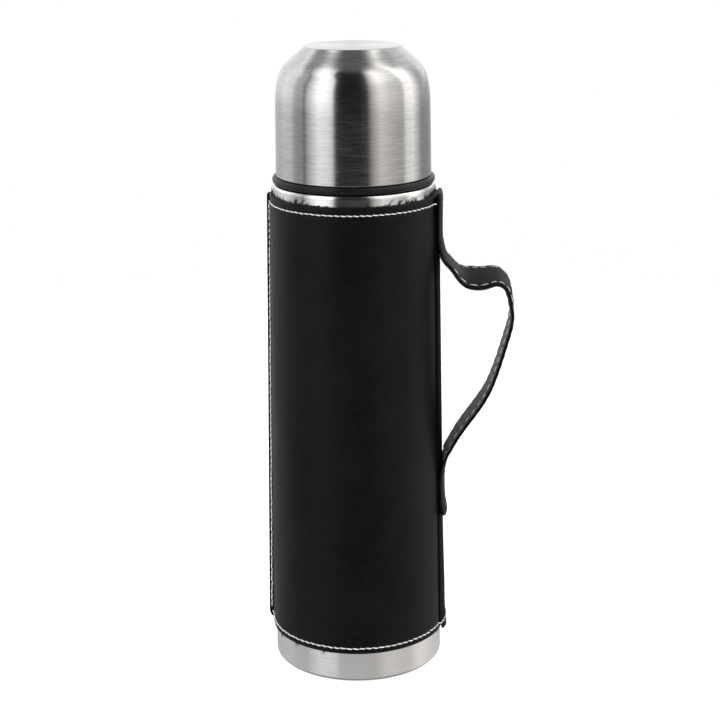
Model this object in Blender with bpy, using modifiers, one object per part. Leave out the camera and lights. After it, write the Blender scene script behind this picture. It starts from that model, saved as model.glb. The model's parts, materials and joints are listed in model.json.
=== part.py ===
"""Vacuum flask in a leather sleeve, with a screw-on cup, a push-button stopper and a strap handle.

Metres, +Z up. The origin is the centre of the flat base, and the handle is on the +X side.
Every turned part shares the Z axis; the cup and the stopper unscrew about it.
"""

import math

import bmesh
import bpy
from mathutils import Matrix, Vector

MM = 0.001
GAP = 0.3 * MM
MERGE = 0.00001
SEGMENTS = 36

# Flask body: an outer shell and an inner vessel, welded at the mouth, with a vacuum between them.
BODY_RADIUS = 38.0 * MM
BODY_TOP = 216.6 * MM
STEEL_WALL = 0.6 * MM
SHOULDER_ROUND = 1.2 * MM
FOOT_ROUND = (0.5 * MM, 0.9 * MM)
BASE_THICKNESS = 0.6 * MM
BASE_RADIUS = 37.0 * MM
BASE_FLANGE_TOP = 6.0 * MM
BASE_CORNER = 1.0 * MM
JACKET_BOTTOM_Z = 7.5 * MM
JACKET_FLANGE_TOP = 10.5 * MM
PUMP_HOLE_RADIUS = 1.5 * MM
BEAD_RADIUS = 3.2 * MM
BEAD_EDGE = 1.0 * MM
BEAD_DEPTH = 2.4 * MM
GETTER_RADIUS = 4.5 * MM
GETTER_HEIGHT = 1.6 * MM
GETTER_OFFSET = 18.0 * MM
VESSEL_RADIUS = 34.5 * MM
VESSEL_BOTTOM = 13.0 * MM
VESSEL_SHOULDER_Z = 196.0 * MM
VESSEL_CORNER = 8.0 * MM
VESSEL_SHOULDER_PULL = 6.0 * MM

# Neck: vessel neck inside shell neck, with the threaded collar pushed over both.
NECK_RADIUS = 25.1 * MM
NECK_START_Z = 207.0 * MM
NECK_FLARE = 1.0 * MM
SHELL_NECK_RADIUS = 26.3 * MM
SHELL_NECK_TOP = 229.6 * MM
SHELL_NECK_ROUND = 0.6 * MM
LIP_RADIUS = 26.9 * MM
LIP_UNDERSIDE = 230.2 * MM
LIP_ROUND = 0.4 * MM
COLLAR_BORE = 26.6 * MM
COLLAR_RADIUS = 31.6 * MM
COLLAR_TOP = 229.2 * MM
COLLAR_CHAMFER = 0.8 * MM
COLLAR_LEAD_IN = 1.2 * MM

# Cup threads and stopper threads, both right-handed with two starts. A ridge is (root, crest) wide.
CUP_LEAD = 8.0 * MM
CUP_TURNS = 0.85
CUP_THREAD_Z = 220.6 * MM
CUP_RIDGE = (1.8 * MM, 1.0 * MM)
CUP_RIDGE_HEIGHT = 1.2 * MM
CUP_RIDGE_SINK = 0.8 * MM
STOPPER_LEAD = 6.0 * MM
STOPPER_TURNS = 1.2
STOPPER_THREAD_Z = 214.5 * MM
STOPPER_RIDGE = (1.2 * MM, 0.7 * MM)
STOPPER_RIDGE_HEIGHT = 1.5 * MM
STOPPER_RIDGE_SINK = 0.6 * MM
STARTS = 2
RUN_OUT_STEPS = 4

# Cup: steel shell, plastic liner, threaded insert and the black ring at its rim.
RING_RADIUS = 38.1 * MM
RING_BOTTOM = BODY_TOP + GAP
RING_TOP = 220.0 * MM
RING_BORE = 34.9 * MM
RING_CROWN = (0.4 * MM, 0.5 * MM)
RING_SIDE = 1.5 * MM
RING_FOOT = ((0.3 * MM, 0.5 * MM), (1.0 * MM, 0.0))
CUP_RADIUS = 36.4 * MM
CUP_BOTTOM = RING_TOP + GAP
CUP_STRAIGHT_TOP = 250.0 * MM
CUP_TOP = 280.4 * MM
CUP_DISC_RADIUS = 23.0 * MM
CUP_DISC_EDGE = 0.3 * MM
DOME_IN = 3.2 * MM
DOME_DROPS = (10.0 * MM, 8.3 * MM)
LINER_DISC_EDGE = 1.0 * MM
CUP_WALL = 0.5 * MM
LINER_WALL = 0.8 * MM
CUP_THREAD_CREST = 31.9 * MM
CUP_THREAD_ROOT = 33.1 * MM
CUP_INSERT_TOP = 229.2 * MM

# Stopper: plug, grip cap, button, stem, spring and valve.
GASKET_BOTTOM = LIP_UNDERSIDE + STEEL_WALL + GAP
GASKET_TOP = GASKET_BOTTOM + 2.0 * MM
GASKET_RADIUS = 27.4 * MM
PLUG_RADIUS = 22.6 * MM
PLUG_WALL = 2.0 * MM
PLUG_BOTTOM = 205.0 * MM
PLUG_FLOOR = 1.6 * MM
PLUG_CHAMFER = 0.8 * MM
FLANGE_BOTTOM = GASKET_TOP + GAP
FLANGE_TOP = FLANGE_BOTTOM + 2.0 * MM
FLANGE_RADIUS = 27.6 * MM
BRIDGE_BOTTOM = 222.0 * MM
BRIDGE_TOP = 223.5 * MM
SEAT_RADIUS = 7.0 * MM
STEM_RADIUS = 2.2 * MM
FLOW_HOLES = 6
FLOW_HOLE_RADIUS = 3.0 * MM
FLOW_HOLE_CIRCLE = 13.5 * MM
CAP_RADIUS = 29.2 * MM
CAP_TOP = 240.2 * MM
CAP_WALL = 1.3 * MM
CAP_CHAMFER = 1.3 * MM
CAP_WELL_RADIUS = 11.4 * MM
POUR_SLOTS = 4
POUR_SLOT_WIDTH = 7.0 * MM
POUR_SLOT_TOP = 237.0 * MM
POUR_SLOT_DEPTH = 8.0 * MM
DRILL_OVERSHOOT = 1.0 * MM
BUTTON_RADIUS = 11.0 * MM
BUTTON_TOP = 243.2 * MM
BUTTON_BOTTOM = 236.2 * MM
BUTTON_WALL = 1.3 * MM
BUTTON_CHAMFER = 1.0 * MM
VALVE_SEAL_THICKNESS = 1.5 * MM
VALVE_DISC_THICKNESS = 2.0 * MM
VALVE_DISC_RADIUS = 9.5 * MM
VALVE_SEAL_BORE = 4.0 * MM
VALVE_SEAL_RADIUS = 9.0 * MM
SPRING_RADIUS = 6.0 * MM
SPRING_WIRE = 0.45 * MM
SPRING_COILS = 5
STEPS_PER_COIL = 10

# Sleeve: two leather panels over a fleece lining, joined by a fin at -X and a band at +X.
LINING_INNER = 38.15 * MM
LINING_OUTER = 38.45 * MM
PANEL_INNER = 38.6 * MM
PANEL_OUTER = 39.3 * MM
SLEEVE_BOTTOM = 12.8 * MM
SLEEVE_TOP = 211.5 * MM
FIN_TIP = 41.6 * MM
FIN_THICKNESS = 0.9 * MM
FIN_ROOT = 39.7 * MM
FIN_BLEND_DEG = 8.0
FIN_REACH = 2.5 * MM
FIN_LEAD = 0.6 * MM
SEAM_GAP = 0.15 * MM
BAND_INNER = 39.45 * MM
BAND_OUTER = 40.3 * MM
BAND_BOTTOM = 9.0 * MM
BAND_TOP = 211.0 * MM
STRAP_WIDTH = 21.0 * MM
STRAP_END_INNER = 40.5 * MM
STRAP_END_OUTER = 42.2 * MM
UPPER_END = (178.5 * MM, 214.0 * MM)
LOWER_END = (60.0 * MM, 85.0 * MM)

# Handle loop: the strap's outer face at Y = 0 as (x, z) in millimetres, from its upper root down.
HANDLE_PIVOT = (41.5 * MM, 0.0, 131.0 * MM)
LOOP_POINTS_MM = (
    (43.3, 177.2),
    (46.6, 174.0),
    (51.0, 171.3),
    (58.0, 170.4),
    (66.0, 171.9),
    (72.0, 168.8),
    (74.6, 160.5),
    (74.3, 152.5),
    (70.4, 141.5),
    (65.5, 128.0),
    (60.2, 116.5),
    (48.6, 100.5),
    (44.4, 92.8),
    (43.3, 86.5),
)
STEPS_PER_LOOP_POINT = 3
LOOP_TWIST_DEG = 19.0
LOOP_TWIST_CENTRE = 58.0 * MM
LOOP_TWIST_REACH = 16.0 * MM
LOOP_LEATHER = 1.1 * MM
LOOP_LINING_DEPTH = 1.3 * MM
LOOP_LINING = 0.8 * MM

# Sewing thread.
THREAD_RADIUS = 0.25 * MM
THREAD_STANDOFF = 0.2 * MM
TOP_STITCH_Z = 208.0 * MM
BOTTOM_STITCH_Z = 15.2 * MM
SEAM_STITCH_X = -40.4 * MM
SEAM_STITCH_MARGIN = 2.0 * MM
STRAP_STITCH_Y = 8.5 * MM
THREAD_START_DEG = 18.0
THREAD_END_DEG = 170.0


# ---------------------------------------------------------------- scene and placing


def clear_scene():
    for obj in list(bpy.data.objects):
        bpy.data.objects.remove(obj, do_unlink=True)


def make_collection(name):
    collection = bpy.data.collections.new(name)
    bpy.context.scene.collection.children.link(collection)
    return collection


def make_material(name, colour, roughness, metallic=0.0):
    material = bpy.data.materials.new(name)
    material.use_nodes = True
    shader = material.node_tree.nodes["Principled BSDF"]
    shader.inputs["Base Color"].default_value = (*colour, 1.0)
    shader.inputs["Roughness"].default_value = roughness
    shader.inputs["Metallic"].default_value = metallic
    return material


def make_pivot(name, location, parent=None):
    """An empty on a joint's axis; the parts that move together are its children."""
    pivot = bpy.data.objects.new(name, None)
    pivot.empty_display_size = 0.01
    PARTS.objects.link(pivot)
    if parent is not None:
        pivot.parent = parent
        location = Vector(location) - world_place(parent)
    pivot.location = location
    return pivot


def world_place(obj):
    """Where an empty stands in the world; the empties are placed by location alone."""
    place = Vector(obj.location)
    if obj.parent is not None:
        place += world_place(obj.parent)
    return place


def add_part(name, data, look, pivot, height=0.0):
    """Links a part under its pivot. Its data is in world coordinates, apart from the height."""
    obj = bpy.data.objects.new(name, data)
    PARTS.objects.link(obj)
    obj.data.materials.append(look())
    data.transform(Matrix.Translation(-world_place(pivot)))
    obj.parent = pivot
    obj.location = (0.0, 0.0, height)
    return obj


def add_cutter(name, mesh, pivot):
    obj = bpy.data.objects.new(name, mesh)
    CUTTERS.objects.link(obj)
    mesh.transform(Matrix.Translation(-world_place(pivot)))
    obj.parent = pivot
    obj.hide_render = True
    obj.display_type = "WIRE"
    return obj


def add_boolean(obj, cutter, operation):
    modifier = obj.modifiers.new(cutter.name, "BOOLEAN")
    modifier.operation = operation
    modifier.solver = "EXACT"
    modifier.object = cutter


# ---------------------------------------------------------------- materials


def brushed_steel():
    return make_material("brushed_steel", (0.62, 0.61, 0.60), 0.30, 1.0)


def plain_steel():
    return make_material("plain_steel", (0.55, 0.55, 0.55), 0.22, 1.0)


def black_plastic():
    return make_material("black_plastic", (0.012, 0.012, 0.013), 0.38)


def grey_plastic():
    return make_material("grey_plastic", (0.16, 0.16, 0.17), 0.45)


def silicone():
    return make_material("silicone", (0.70, 0.70, 0.68), 0.55)


def black_rubber():
    return make_material("black_rubber", (0.014, 0.014, 0.015), 0.50)


def glass_solder():
    return make_material("glass_solder", (0.25, 0.24, 0.20), 0.15)


def getter_metal():
    return make_material("getter_metal", (0.30, 0.29, 0.28), 0.60, 1.0)


def black_leather():
    return make_material("black_leather", (0.013, 0.015, 0.015), 0.48)


def dark_fleece():
    return make_material("dark_fleece", (0.02, 0.02, 0.022), 0.95)


def grey_lining():
    return make_material("grey_lining", (0.09, 0.09, 0.09), 0.85)


def white_thread():
    return make_material("white_thread", (0.78, 0.78, 0.80), 0.70)


# ---------------------------------------------------------------- turned parts


def arc(centre, radius, start_deg, end_deg, steps):
    """Points on a circle in the (radius, height) plane; 0 degrees points outwards, 90 up."""
    points = []
    for step in range(steps + 1):
        angle = math.radians(start_deg + (end_deg - start_deg) * step / steps)
        points.append((centre[0] + radius * math.cos(angle), centre[1] + radius * math.sin(angle)))
    return points


def bezier(p0, p1, p2, p3, steps):
    points = []
    for step in range(steps + 1):
        t = step / steps
        weights = ((1 - t) ** 3, 3 * t * (1 - t) ** 2, 3 * t * t * (1 - t), t**3)
        corners = (p0, p1, p2, p3)
        points.append(tuple(sum(w * p[axis] for w, p in zip(weights, corners)) for axis in (0, 1)))
    return points


def turned(name, outline, look, pivot, closed=True, wall=0.0):
    """A part turned about Z. The outline lists (radius, height) down the outer side.

    A closed outline comes back up the inner side, an open one ends on the axis, and an open one
    with a wall is a shell that the wall thickens inwards.
    """
    edges = [(index, index + 1) for index in range(len(outline) - 1)]
    if closed:
        edges.append((len(outline) - 1, 0))
    mesh = bpy.data.meshes.new(name)
    mesh.from_pydata([(radius, 0.0, height) for radius, height in outline], edges, [])
    obj = add_part(name, mesh, look, pivot)
    screw = obj.modifiers.new("turn", "SCREW")
    screw.axis = "Z"
    screw.angle = math.tau
    screw.steps = SEGMENTS
    screw.render_steps = SEGMENTS
    screw.use_merge_vertices = True
    screw.merge_threshold = MERGE
    screw.use_smooth_shade = True
    if wall:
        solidify = obj.modifiers.new("wall", "SOLIDIFY")
        solidify.thickness = wall
        solidify.offset = -1.0
        solidify.use_even_offset = True
    return obj


def ring_outline(inner, outer, bottom, top):
    return [(outer, top), (outer, bottom), (inner, bottom), (inner, top)]


def disc_outline(radius, bottom, top):
    return [(0.0, top), (radius, top), (radius, bottom), (0.0, bottom)]


def helical_ridges(name, root, crest, lead, first_z, turns, widths, pivot):
    """Thread ridges to join to a wall: one trapezium per start, swept up a right-hand helix."""
    bm = bmesh.new()
    root_width, crest_width = widths
    steps = round(turns * SEGMENTS)
    for start in range(STARTS):
        sections = []
        for step in range(steps + 1):
            angle = math.tau * (step / SEGMENTS + start / STARTS)
            height = first_z + lead * step / SEGMENTS
            fade = min(1.0, (step + 1) / RUN_OUT_STEPS, (steps - step + 1) / RUN_OUT_STEPS)
            top = root + (crest - root) * fade
            corners = ((root, -root_width), (top, -crest_width), (top, crest_width), (root, root_width))
            sections.append(
                [
                    bm.verts.new((r * math.cos(angle), r * math.sin(angle), height + w / 2))
                    for r, w in corners
                ]
            )
        loft(bm, sections)
    bmesh.ops.recalc_face_normals(bm, faces=bm.faces)
    mesh = bpy.data.meshes.new(name)
    bm.to_mesh(mesh)
    bm.free()
    return add_cutter(name, mesh, pivot)


def loft(bm, sections):
    """Skins a run of equal-sized closed sections and caps both ends."""
    count = len(sections[0])
    for lower, upper in zip(sections, sections[1:]):
        for index in range(count):
            following = (index + 1) % count
            bm.faces.new((lower[index], lower[following], upper[following], upper[index]))
    bm.faces.new(sections[0])
    bm.faces.new(sections[-1])


def drill(name, radius, place, bottom, top, pivot):
    """A round cutter standing at (x, y) from bottom to top."""
    bm = bmesh.new()
    bmesh.ops.create_cone(
        bm,
        cap_ends=True,
        segments=12,
        radius1=radius,
        radius2=radius,
        depth=top - bottom,
        matrix=Matrix.Translation((place[0], place[1], (bottom + top) / 2)),
    )
    mesh = bpy.data.meshes.new(name)
    bm.to_mesh(mesh)
    bm.free()
    return add_cutter(name, mesh, pivot)


# ---------------------------------------------------------------- flat and swept parts


def extruded(name, outline, bottom, top, look, pivot):
    """A flat (x, y) outline raised from bottom to top."""
    curve = bpy.data.curves.new(name, "CURVE")
    curve.dimensions = "2D"
    curve.fill_mode = "BOTH"
    curve.extrude = (top - bottom) / 2
    spline = curve.splines.new("POLY")
    spline.points.add(len(outline) - 1)
    for point, (x, y) in zip(spline.points, outline):
        point.co = (x, y, 0.0, 1.0)
    spline.use_cyclic_u = True
    return add_part(name, curve, look, pivot, (bottom + top) / 2)


def wire(name, points, radius, look, pivot):
    """A four-sided wire through a run of points, with closed ends."""
    curve = bpy.data.curves.new(name, "CURVE")
    curve.dimensions = "3D"
    curve.bevel_depth = radius
    curve.bevel_resolution = 0
    curve.use_fill_caps = True
    spline = curve.splines.new("POLY")
    spline.points.add(len(points) - 1)
    for point, place in zip(spline.points, points):
        point.co = (*place, 1.0)
    return add_part(name, curve, look, pivot)


def circle_points(radius, start_deg, end_deg):
    """Corners of a facetted circle between two angles, on the same facets as the turned parts."""
    facet = 360.0 / SEGMENTS
    corners = [n * facet for n in range(-SEGMENTS, SEGMENTS + 1)]
    between = [corner for corner in corners if start_deg + 1 < corner < end_deg - 1]
    angles = [start_deg, *between, end_deg]
    return [(radius * math.cos(math.radians(a)), radius * math.sin(math.radians(a))) for a in angles]


# ---------------------------------------------------------------- flask


def build_flask(pivot):
    shoulder_centre = (BODY_RADIUS - SHOULDER_ROUND, BODY_TOP - SHOULDER_ROUND)
    shoulder = arc(shoulder_centre, SHOULDER_ROUND, 90.0, 0.0, 3)
    neck = [
        (SHELL_NECK_RADIUS, SHELL_NECK_TOP),
        (SHELL_NECK_RADIUS, BODY_TOP + SHELL_NECK_ROUND),
        (SHELL_NECK_RADIUS + SHELL_NECK_ROUND, BODY_TOP),
    ]
    foot = [(BODY_RADIUS, GAP + FOOT_ROUND[1]), (BODY_RADIUS - FOOT_ROUND[0], GAP)]
    turned("outer_shell", neck + shoulder + foot, brushed_steel, pivot, closed=False, wall=STEEL_WALL)

    lip = [(LIP_RADIUS, LIP_UNDERSIDE), (NECK_RADIUS + LIP_ROUND, LIP_UNDERSIDE)]
    vessel_neck = [(NECK_RADIUS, LIP_UNDERSIDE - LIP_ROUND), (NECK_RADIUS, NECK_START_Z)]
    vessel_shoulder = bezier(
        (NECK_RADIUS, NECK_START_Z),
        (NECK_RADIUS + NECK_FLARE, NECK_START_Z - VESSEL_SHOULDER_PULL),
        (VESSEL_RADIUS, VESSEL_SHOULDER_Z + VESSEL_SHOULDER_PULL),
        (VESSEL_RADIUS, VESSEL_SHOULDER_Z),
        4,
    )
    corner_centre = (VESSEL_RADIUS - VESSEL_CORNER, VESSEL_BOTTOM + VESSEL_CORNER)
    corner = arc(corner_centre, VESSEL_CORNER, 0.0, -90.0, 3)
    outline = lip + vessel_neck + vessel_shoulder[1:] + corner + [(0.0, VESSEL_BOTTOM)]
    vessel = turned("inner_vessel", outline, plain_steel, pivot, closed=False, wall=STEEL_WALL)
    bore = NECK_RADIUS - STEEL_WALL
    ridges = helical_ridges(
        "neck_ridges",
        bore + STEEL_WALL / 2,
        bore - STOPPER_RIDGE_HEIGHT,
        STOPPER_LEAD,
        STOPPER_THREAD_Z,
        STOPPER_TURNS,
        STOPPER_RIDGE,
        pivot,
    )
    add_boolean(vessel, ridges, "UNION")

    collar_outline = [
        (COLLAR_RADIUS - COLLAR_CHAMFER, COLLAR_TOP),
        (COLLAR_RADIUS, COLLAR_TOP - COLLAR_CHAMFER),
        (COLLAR_RADIUS, BODY_TOP + GAP),
        (COLLAR_BORE + COLLAR_LEAD_IN, BODY_TOP + GAP),
        (COLLAR_BORE, BODY_TOP + GAP + COLLAR_LEAD_IN),
        (COLLAR_BORE, COLLAR_TOP),
    ]
    collar = turned("neck_collar", collar_outline, black_plastic, pivot)
    ridges = helical_ridges(
        "collar_ridges",
        COLLAR_RADIUS - CUP_RIDGE_SINK,
        COLLAR_RADIUS + CUP_RIDGE_HEIGHT,
        CUP_LEAD,
        CUP_THREAD_Z,
        CUP_TURNS,
        CUP_RIDGE,
        pivot,
    )
    add_boolean(collar, ridges, "UNION")
    build_base(pivot)


def build_base(pivot):
    wall_inside = BODY_RADIUS - STEEL_WALL - GAP
    base_outline = [
        (wall_inside, BASE_FLANGE_TOP),
        (wall_inside, BASE_CORNER),
        (BASE_RADIUS - BASE_CORNER, 0.0),
        (0.0, 0.0),
    ]
    turned("base_cap", base_outline, brushed_steel, pivot, closed=False, wall=BASE_THICKNESS)

    jacket_outline = [
        (wall_inside, JACKET_FLANGE_TOP),
        (wall_inside, JACKET_BOTTOM_Z),
        (PUMP_HOLE_RADIUS, JACKET_BOTTOM_Z),
    ]
    turned("jacket_bottom", jacket_outline, plain_steel, pivot, closed=False, wall=STEEL_WALL)
    bead_top = JACKET_BOTTOM_Z - GAP
    bead_corner = (BEAD_RADIUS, bead_top)
    bead_side = (BEAD_RADIUS, bead_top - BEAD_EDGE)
    bead = bezier((0.0, bead_top), bead_corner, bead_corner, bead_side, 2)
    bead.append((0.0, bead_top - BEAD_DEPTH))
    turned("seal_bead", bead, glass_solder, pivot, closed=False)

    getter_bottom = JACKET_BOTTOM_Z + STEEL_WALL + GAP
    bpy.ops.mesh.primitive_cylinder_add(vertices=16, radius=GETTER_RADIUS, depth=GETTER_HEIGHT)
    getter = bpy.context.object
    getter.name = "getter"
    getter.location = (GETTER_OFFSET, 0.0, getter_bottom + GETTER_HEIGHT / 2)
    getter.parent = pivot
    getter.data.materials.append(getter_metal())
    bpy.context.collection.objects.unlink(getter)
    PARTS.objects.link(getter)


# ---------------------------------------------------------------- cup


def cup_dome():
    """The cup's outer face from the edge of its flat top down to its straight side."""
    return bezier(
        (CUP_DISC_RADIUS, CUP_TOP - CUP_DISC_EDGE),
        (CUP_RADIUS - DOME_IN, CUP_TOP - DOME_DROPS[0]),
        (CUP_RADIUS, CUP_TOP - DOME_DROPS[1]),
        (CUP_RADIUS, CUP_STRAIGHT_TOP),
        7,
    )


def inset(outline, distance):
    """The same open outline moved inwards, square to its own direction."""
    moved = []
    last = len(outline) - 1
    for index, point in enumerate(outline):
        before = Vector(outline[max(index - 1, 0)])
        after = Vector(outline[min(index + 1, last)])
        along = (after - before).normalized()
        inwards = Vector((along.y, -along.x))
        moved.append(tuple(Vector(point) + inwards * distance))
    return moved


def build_cup(lift_pivot, turn_pivot):
    ring_outline_points = [
        (CUP_RADIUS, RING_TOP),
        (RING_RADIUS - RING_CROWN[0], RING_TOP - RING_CROWN[1]),
        (RING_RADIUS, RING_TOP - RING_SIDE),
        *((RING_RADIUS - inwards, RING_BOTTOM + above) for inwards, above in RING_FOOT),
        (RING_BORE, RING_BOTTOM),
        (RING_BORE, RING_TOP),
    ]
    turned("cup_rim_ring", ring_outline_points, black_rubber, lift_pivot)

    dome = cup_dome()
    disc = [(0.0, CUP_TOP), (CUP_DISC_RADIUS - CUP_DISC_EDGE, CUP_TOP)]
    shell_outline = disc + dome + [(CUP_RADIUS, CUP_BOTTOM)]
    turned("cup_shell", shell_outline, brushed_steel, turn_pivot, closed=False, wall=CUP_WALL)

    liner_inset = CUP_WALL + GAP
    liner_top = CUP_TOP - liner_inset
    liner_dome = [point for point in inset(dome, liner_inset) if point[1] < liner_top - LINER_DISC_EDGE]
    liner_radius = CUP_RADIUS - liner_inset
    liner_outline = [(0.0, liner_top), (CUP_DISC_RADIUS - LINER_DISC_EDGE, liner_top)]
    liner_outline += liner_dome + [(liner_radius, CUP_INSERT_TOP + GAP)]
    turned("cup_liner", liner_outline, grey_plastic, turn_pivot, closed=False, wall=LINER_WALL)

    insert_outline = [
        (liner_radius, CUP_INSERT_TOP),
        (liner_radius, CUP_BOTTOM),
        (RING_BORE - GAP, CUP_BOTTOM),
        (RING_BORE - GAP, RING_BOTTOM),
        (CUP_THREAD_ROOT, RING_BOTTOM),
        (CUP_THREAD_ROOT, CUP_INSERT_TOP),
    ]
    insert = turned("cup_thread_insert", insert_outline, black_plastic, turn_pivot)
    ridges = helical_ridges(
        "insert_ridges",
        CUP_THREAD_ROOT + CUP_RIDGE_SINK,
        CUP_THREAD_CREST,
        CUP_LEAD,
        CUP_THREAD_Z - CUP_LEAD / STARTS / 2,
        CUP_TURNS,
        CUP_RIDGE,
        turn_pivot,
    )
    add_boolean(insert, ridges, "UNION")


# ---------------------------------------------------------------- stopper


def build_stopper(lift_pivot, turn_pivot, button_pivot):
    gasket = ring_outline(PLUG_RADIUS + GAP, GASKET_RADIUS, GASKET_BOTTOM, GASKET_TOP)
    turned("stopper_gasket", gasket, silicone, lift_pivot)

    plug_inside = PLUG_RADIUS - PLUG_WALL
    plug_outline = [
        (FLANGE_RADIUS, FLANGE_TOP),
        (FLANGE_RADIUS, FLANGE_BOTTOM),
        (PLUG_RADIUS, FLANGE_BOTTOM),
        (PLUG_RADIUS, PLUG_BOTTOM + PLUG_CHAMFER),
        (PLUG_RADIUS - PLUG_CHAMFER, PLUG_BOTTOM),
        (SEAT_RADIUS, PLUG_BOTTOM),
        (SEAT_RADIUS, PLUG_BOTTOM + PLUG_FLOOR),
        (plug_inside, PLUG_BOTTOM + PLUG_FLOOR),
        (plug_inside, BRIDGE_BOTTOM),
        (STEM_RADIUS + GAP, BRIDGE_BOTTOM),
        (STEM_RADIUS + GAP, BRIDGE_TOP),
        (plug_inside, BRIDGE_TOP),
        (plug_inside, FLANGE_TOP),
    ]
    plug = turned("stopper_body", plug_outline, grey_plastic, turn_pivot)
    ridges = helical_ridges(
        "plug_ridges",
        PLUG_RADIUS - STOPPER_RIDGE_SINK,
        PLUG_RADIUS + STOPPER_RIDGE_HEIGHT,
        STOPPER_LEAD,
        STOPPER_THREAD_Z - STOPPER_LEAD / STARTS / 2,
        STOPPER_TURNS,
        STOPPER_RIDGE,
        turn_pivot,
    )
    add_boolean(plug, ridges, "UNION")
    for index in range(FLOW_HOLES):
        angle = math.tau * index / FLOW_HOLES
        place = (FLOW_HOLE_CIRCLE * math.cos(angle), FLOW_HOLE_CIRCLE * math.sin(angle))
        hole = drill(
            f"flow_hole_{index + 1}",
            FLOW_HOLE_RADIUS,
            place,
            BRIDGE_BOTTOM - DRILL_OVERSHOOT,
            BRIDGE_TOP + DRILL_OVERSHOOT,
            turn_pivot,
        )
        add_boolean(plug, hole, "DIFFERENCE")

    build_cap(turn_pivot)
    build_button(turn_pivot, button_pivot)


def build_cap(pivot):
    well_outside = CAP_WELL_RADIUS + CAP_WALL
    cap_outline = [
        (CAP_RADIUS - CAP_CHAMFER, CAP_TOP),
        (CAP_RADIUS, CAP_TOP - CAP_CHAMFER),
        (CAP_RADIUS, FLANGE_BOTTOM),
        (FLANGE_RADIUS + GAP, FLANGE_BOTTOM),
        (FLANGE_RADIUS + GAP, CAP_TOP - CAP_WALL),
        (well_outside, CAP_TOP - CAP_WALL),
        (well_outside, FLANGE_TOP + GAP),
        (CAP_WELL_RADIUS, FLANGE_TOP + GAP),
        (CAP_WELL_RADIUS, CAP_TOP),
    ]
    cap = turned("stopper_cap", cap_outline, black_plastic, pivot)
    for index in range(POUR_SLOTS):
        bm = bmesh.new()
        turn = Matrix.Rotation(math.tau * index / POUR_SLOTS, 4, "Z")
        height = POUR_SLOT_TOP - FLANGE_TOP
        place = Matrix.Translation((CAP_RADIUS, 0.0, FLANGE_TOP + height / 2 + GAP))
        size = Matrix.Diagonal((POUR_SLOT_DEPTH, POUR_SLOT_WIDTH, height, 1.0))
        bmesh.ops.create_cube(bm, size=1.0, matrix=turn @ place @ size)
        mesh = bpy.data.meshes.new(f"pour_slot_{index + 1}")
        bm.to_mesh(mesh)
        bm.free()
        add_boolean(cap, add_cutter(mesh.name, mesh, pivot), "DIFFERENCE")


def build_button(turn_pivot, button_pivot):
    button_outline = [
        (0.0, BUTTON_TOP),
        (BUTTON_RADIUS - BUTTON_CHAMFER, BUTTON_TOP),
        (BUTTON_RADIUS, BUTTON_TOP - BUTTON_CHAMFER),
        (BUTTON_RADIUS, BUTTON_BOTTOM),
    ]
    turned("push_button", button_outline, grey_plastic, button_pivot, closed=False, wall=BUTTON_WALL)

    button_underside = BUTTON_TOP - BUTTON_WALL
    seal_top = PLUG_BOTTOM - GAP
    seal_bottom = seal_top - VALVE_SEAL_THICKNESS
    disc_top = seal_bottom - GAP
    stem_bottom = disc_top + GAP
    stem = disc_outline(STEM_RADIUS, stem_bottom, button_underside - GAP)
    turned("valve_stem", stem, grey_plastic, button_pivot, closed=False)
    seal = ring_outline(VALVE_SEAL_BORE, VALVE_SEAL_RADIUS, seal_bottom, seal_top)
    turned("valve_seal", seal, silicone, button_pivot)
    disc = disc_outline(VALVE_DISC_RADIUS, disc_top - VALVE_DISC_THICKNESS, disc_top)
    turned("valve_disc", disc, grey_plastic, button_pivot, closed=False)

    bottom = BRIDGE_TOP + GAP + SPRING_WIRE
    top = button_underside - GAP - SPRING_WIRE
    steps = SPRING_COILS * STEPS_PER_COIL
    coil = []
    for step in range(steps + 1):
        angle = math.tau * step / STEPS_PER_COIL
        height = bottom + (top - bottom) * step / steps
        coil.append((SPRING_RADIUS * math.cos(angle), SPRING_RADIUS * math.sin(angle), height))
    wire("valve_spring", coil, SPRING_WIRE, plain_steel, turn_pivot)


# ---------------------------------------------------------------- sleeve


def panel_outline(side):
    """Section of one sleeve panel: side -1 is the front half, +1 the back half."""
    seam_deg = math.degrees(SEAM_GAP / PANEL_OUTER)
    outer = circle_points(PANEL_OUTER, seam_deg, 180.0 - FIN_BLEND_DEG)
    corner = outer[-1]
    blend = math.radians(FIN_BLEND_DEG)
    leave = (corner[0] - FIN_REACH * math.sin(blend), corner[1] - FIN_REACH * math.cos(blend))
    face = SEAM_GAP + FIN_THICKNESS
    fin = bezier(corner, leave, (-FIN_ROOT + FIN_LEAD, face), (-FIN_ROOT, face), 4)
    tip = [(-FIN_TIP, face), (-FIN_TIP, SEAM_GAP)]
    inner = circle_points(PANEL_INNER, seam_deg, 180.0 - seam_deg)
    outline = outer + fin[1:] + tip + inner[::-1]
    return [(x, side * y) for x, y in outline]


def wall_outline(inner, outer, half_width):
    """Section of a strip that lies round the +X side: two arcs and two ends."""
    turn = math.degrees(math.asin(half_width / outer))
    return circle_points(inner, -turn, turn) + circle_points(outer, -turn, turn)[::-1]


def sleeve_thread(name, side, height, pivot):
    middle = PANEL_OUTER + THREAD_STANDOFF + THREAD_RADIUS
    arc_points = circle_points(middle, THREAD_START_DEG, THREAD_END_DEG)
    wire(name, [(x, side * y, height) for x, y in arc_points], THREAD_RADIUS, white_thread, pivot)


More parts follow.
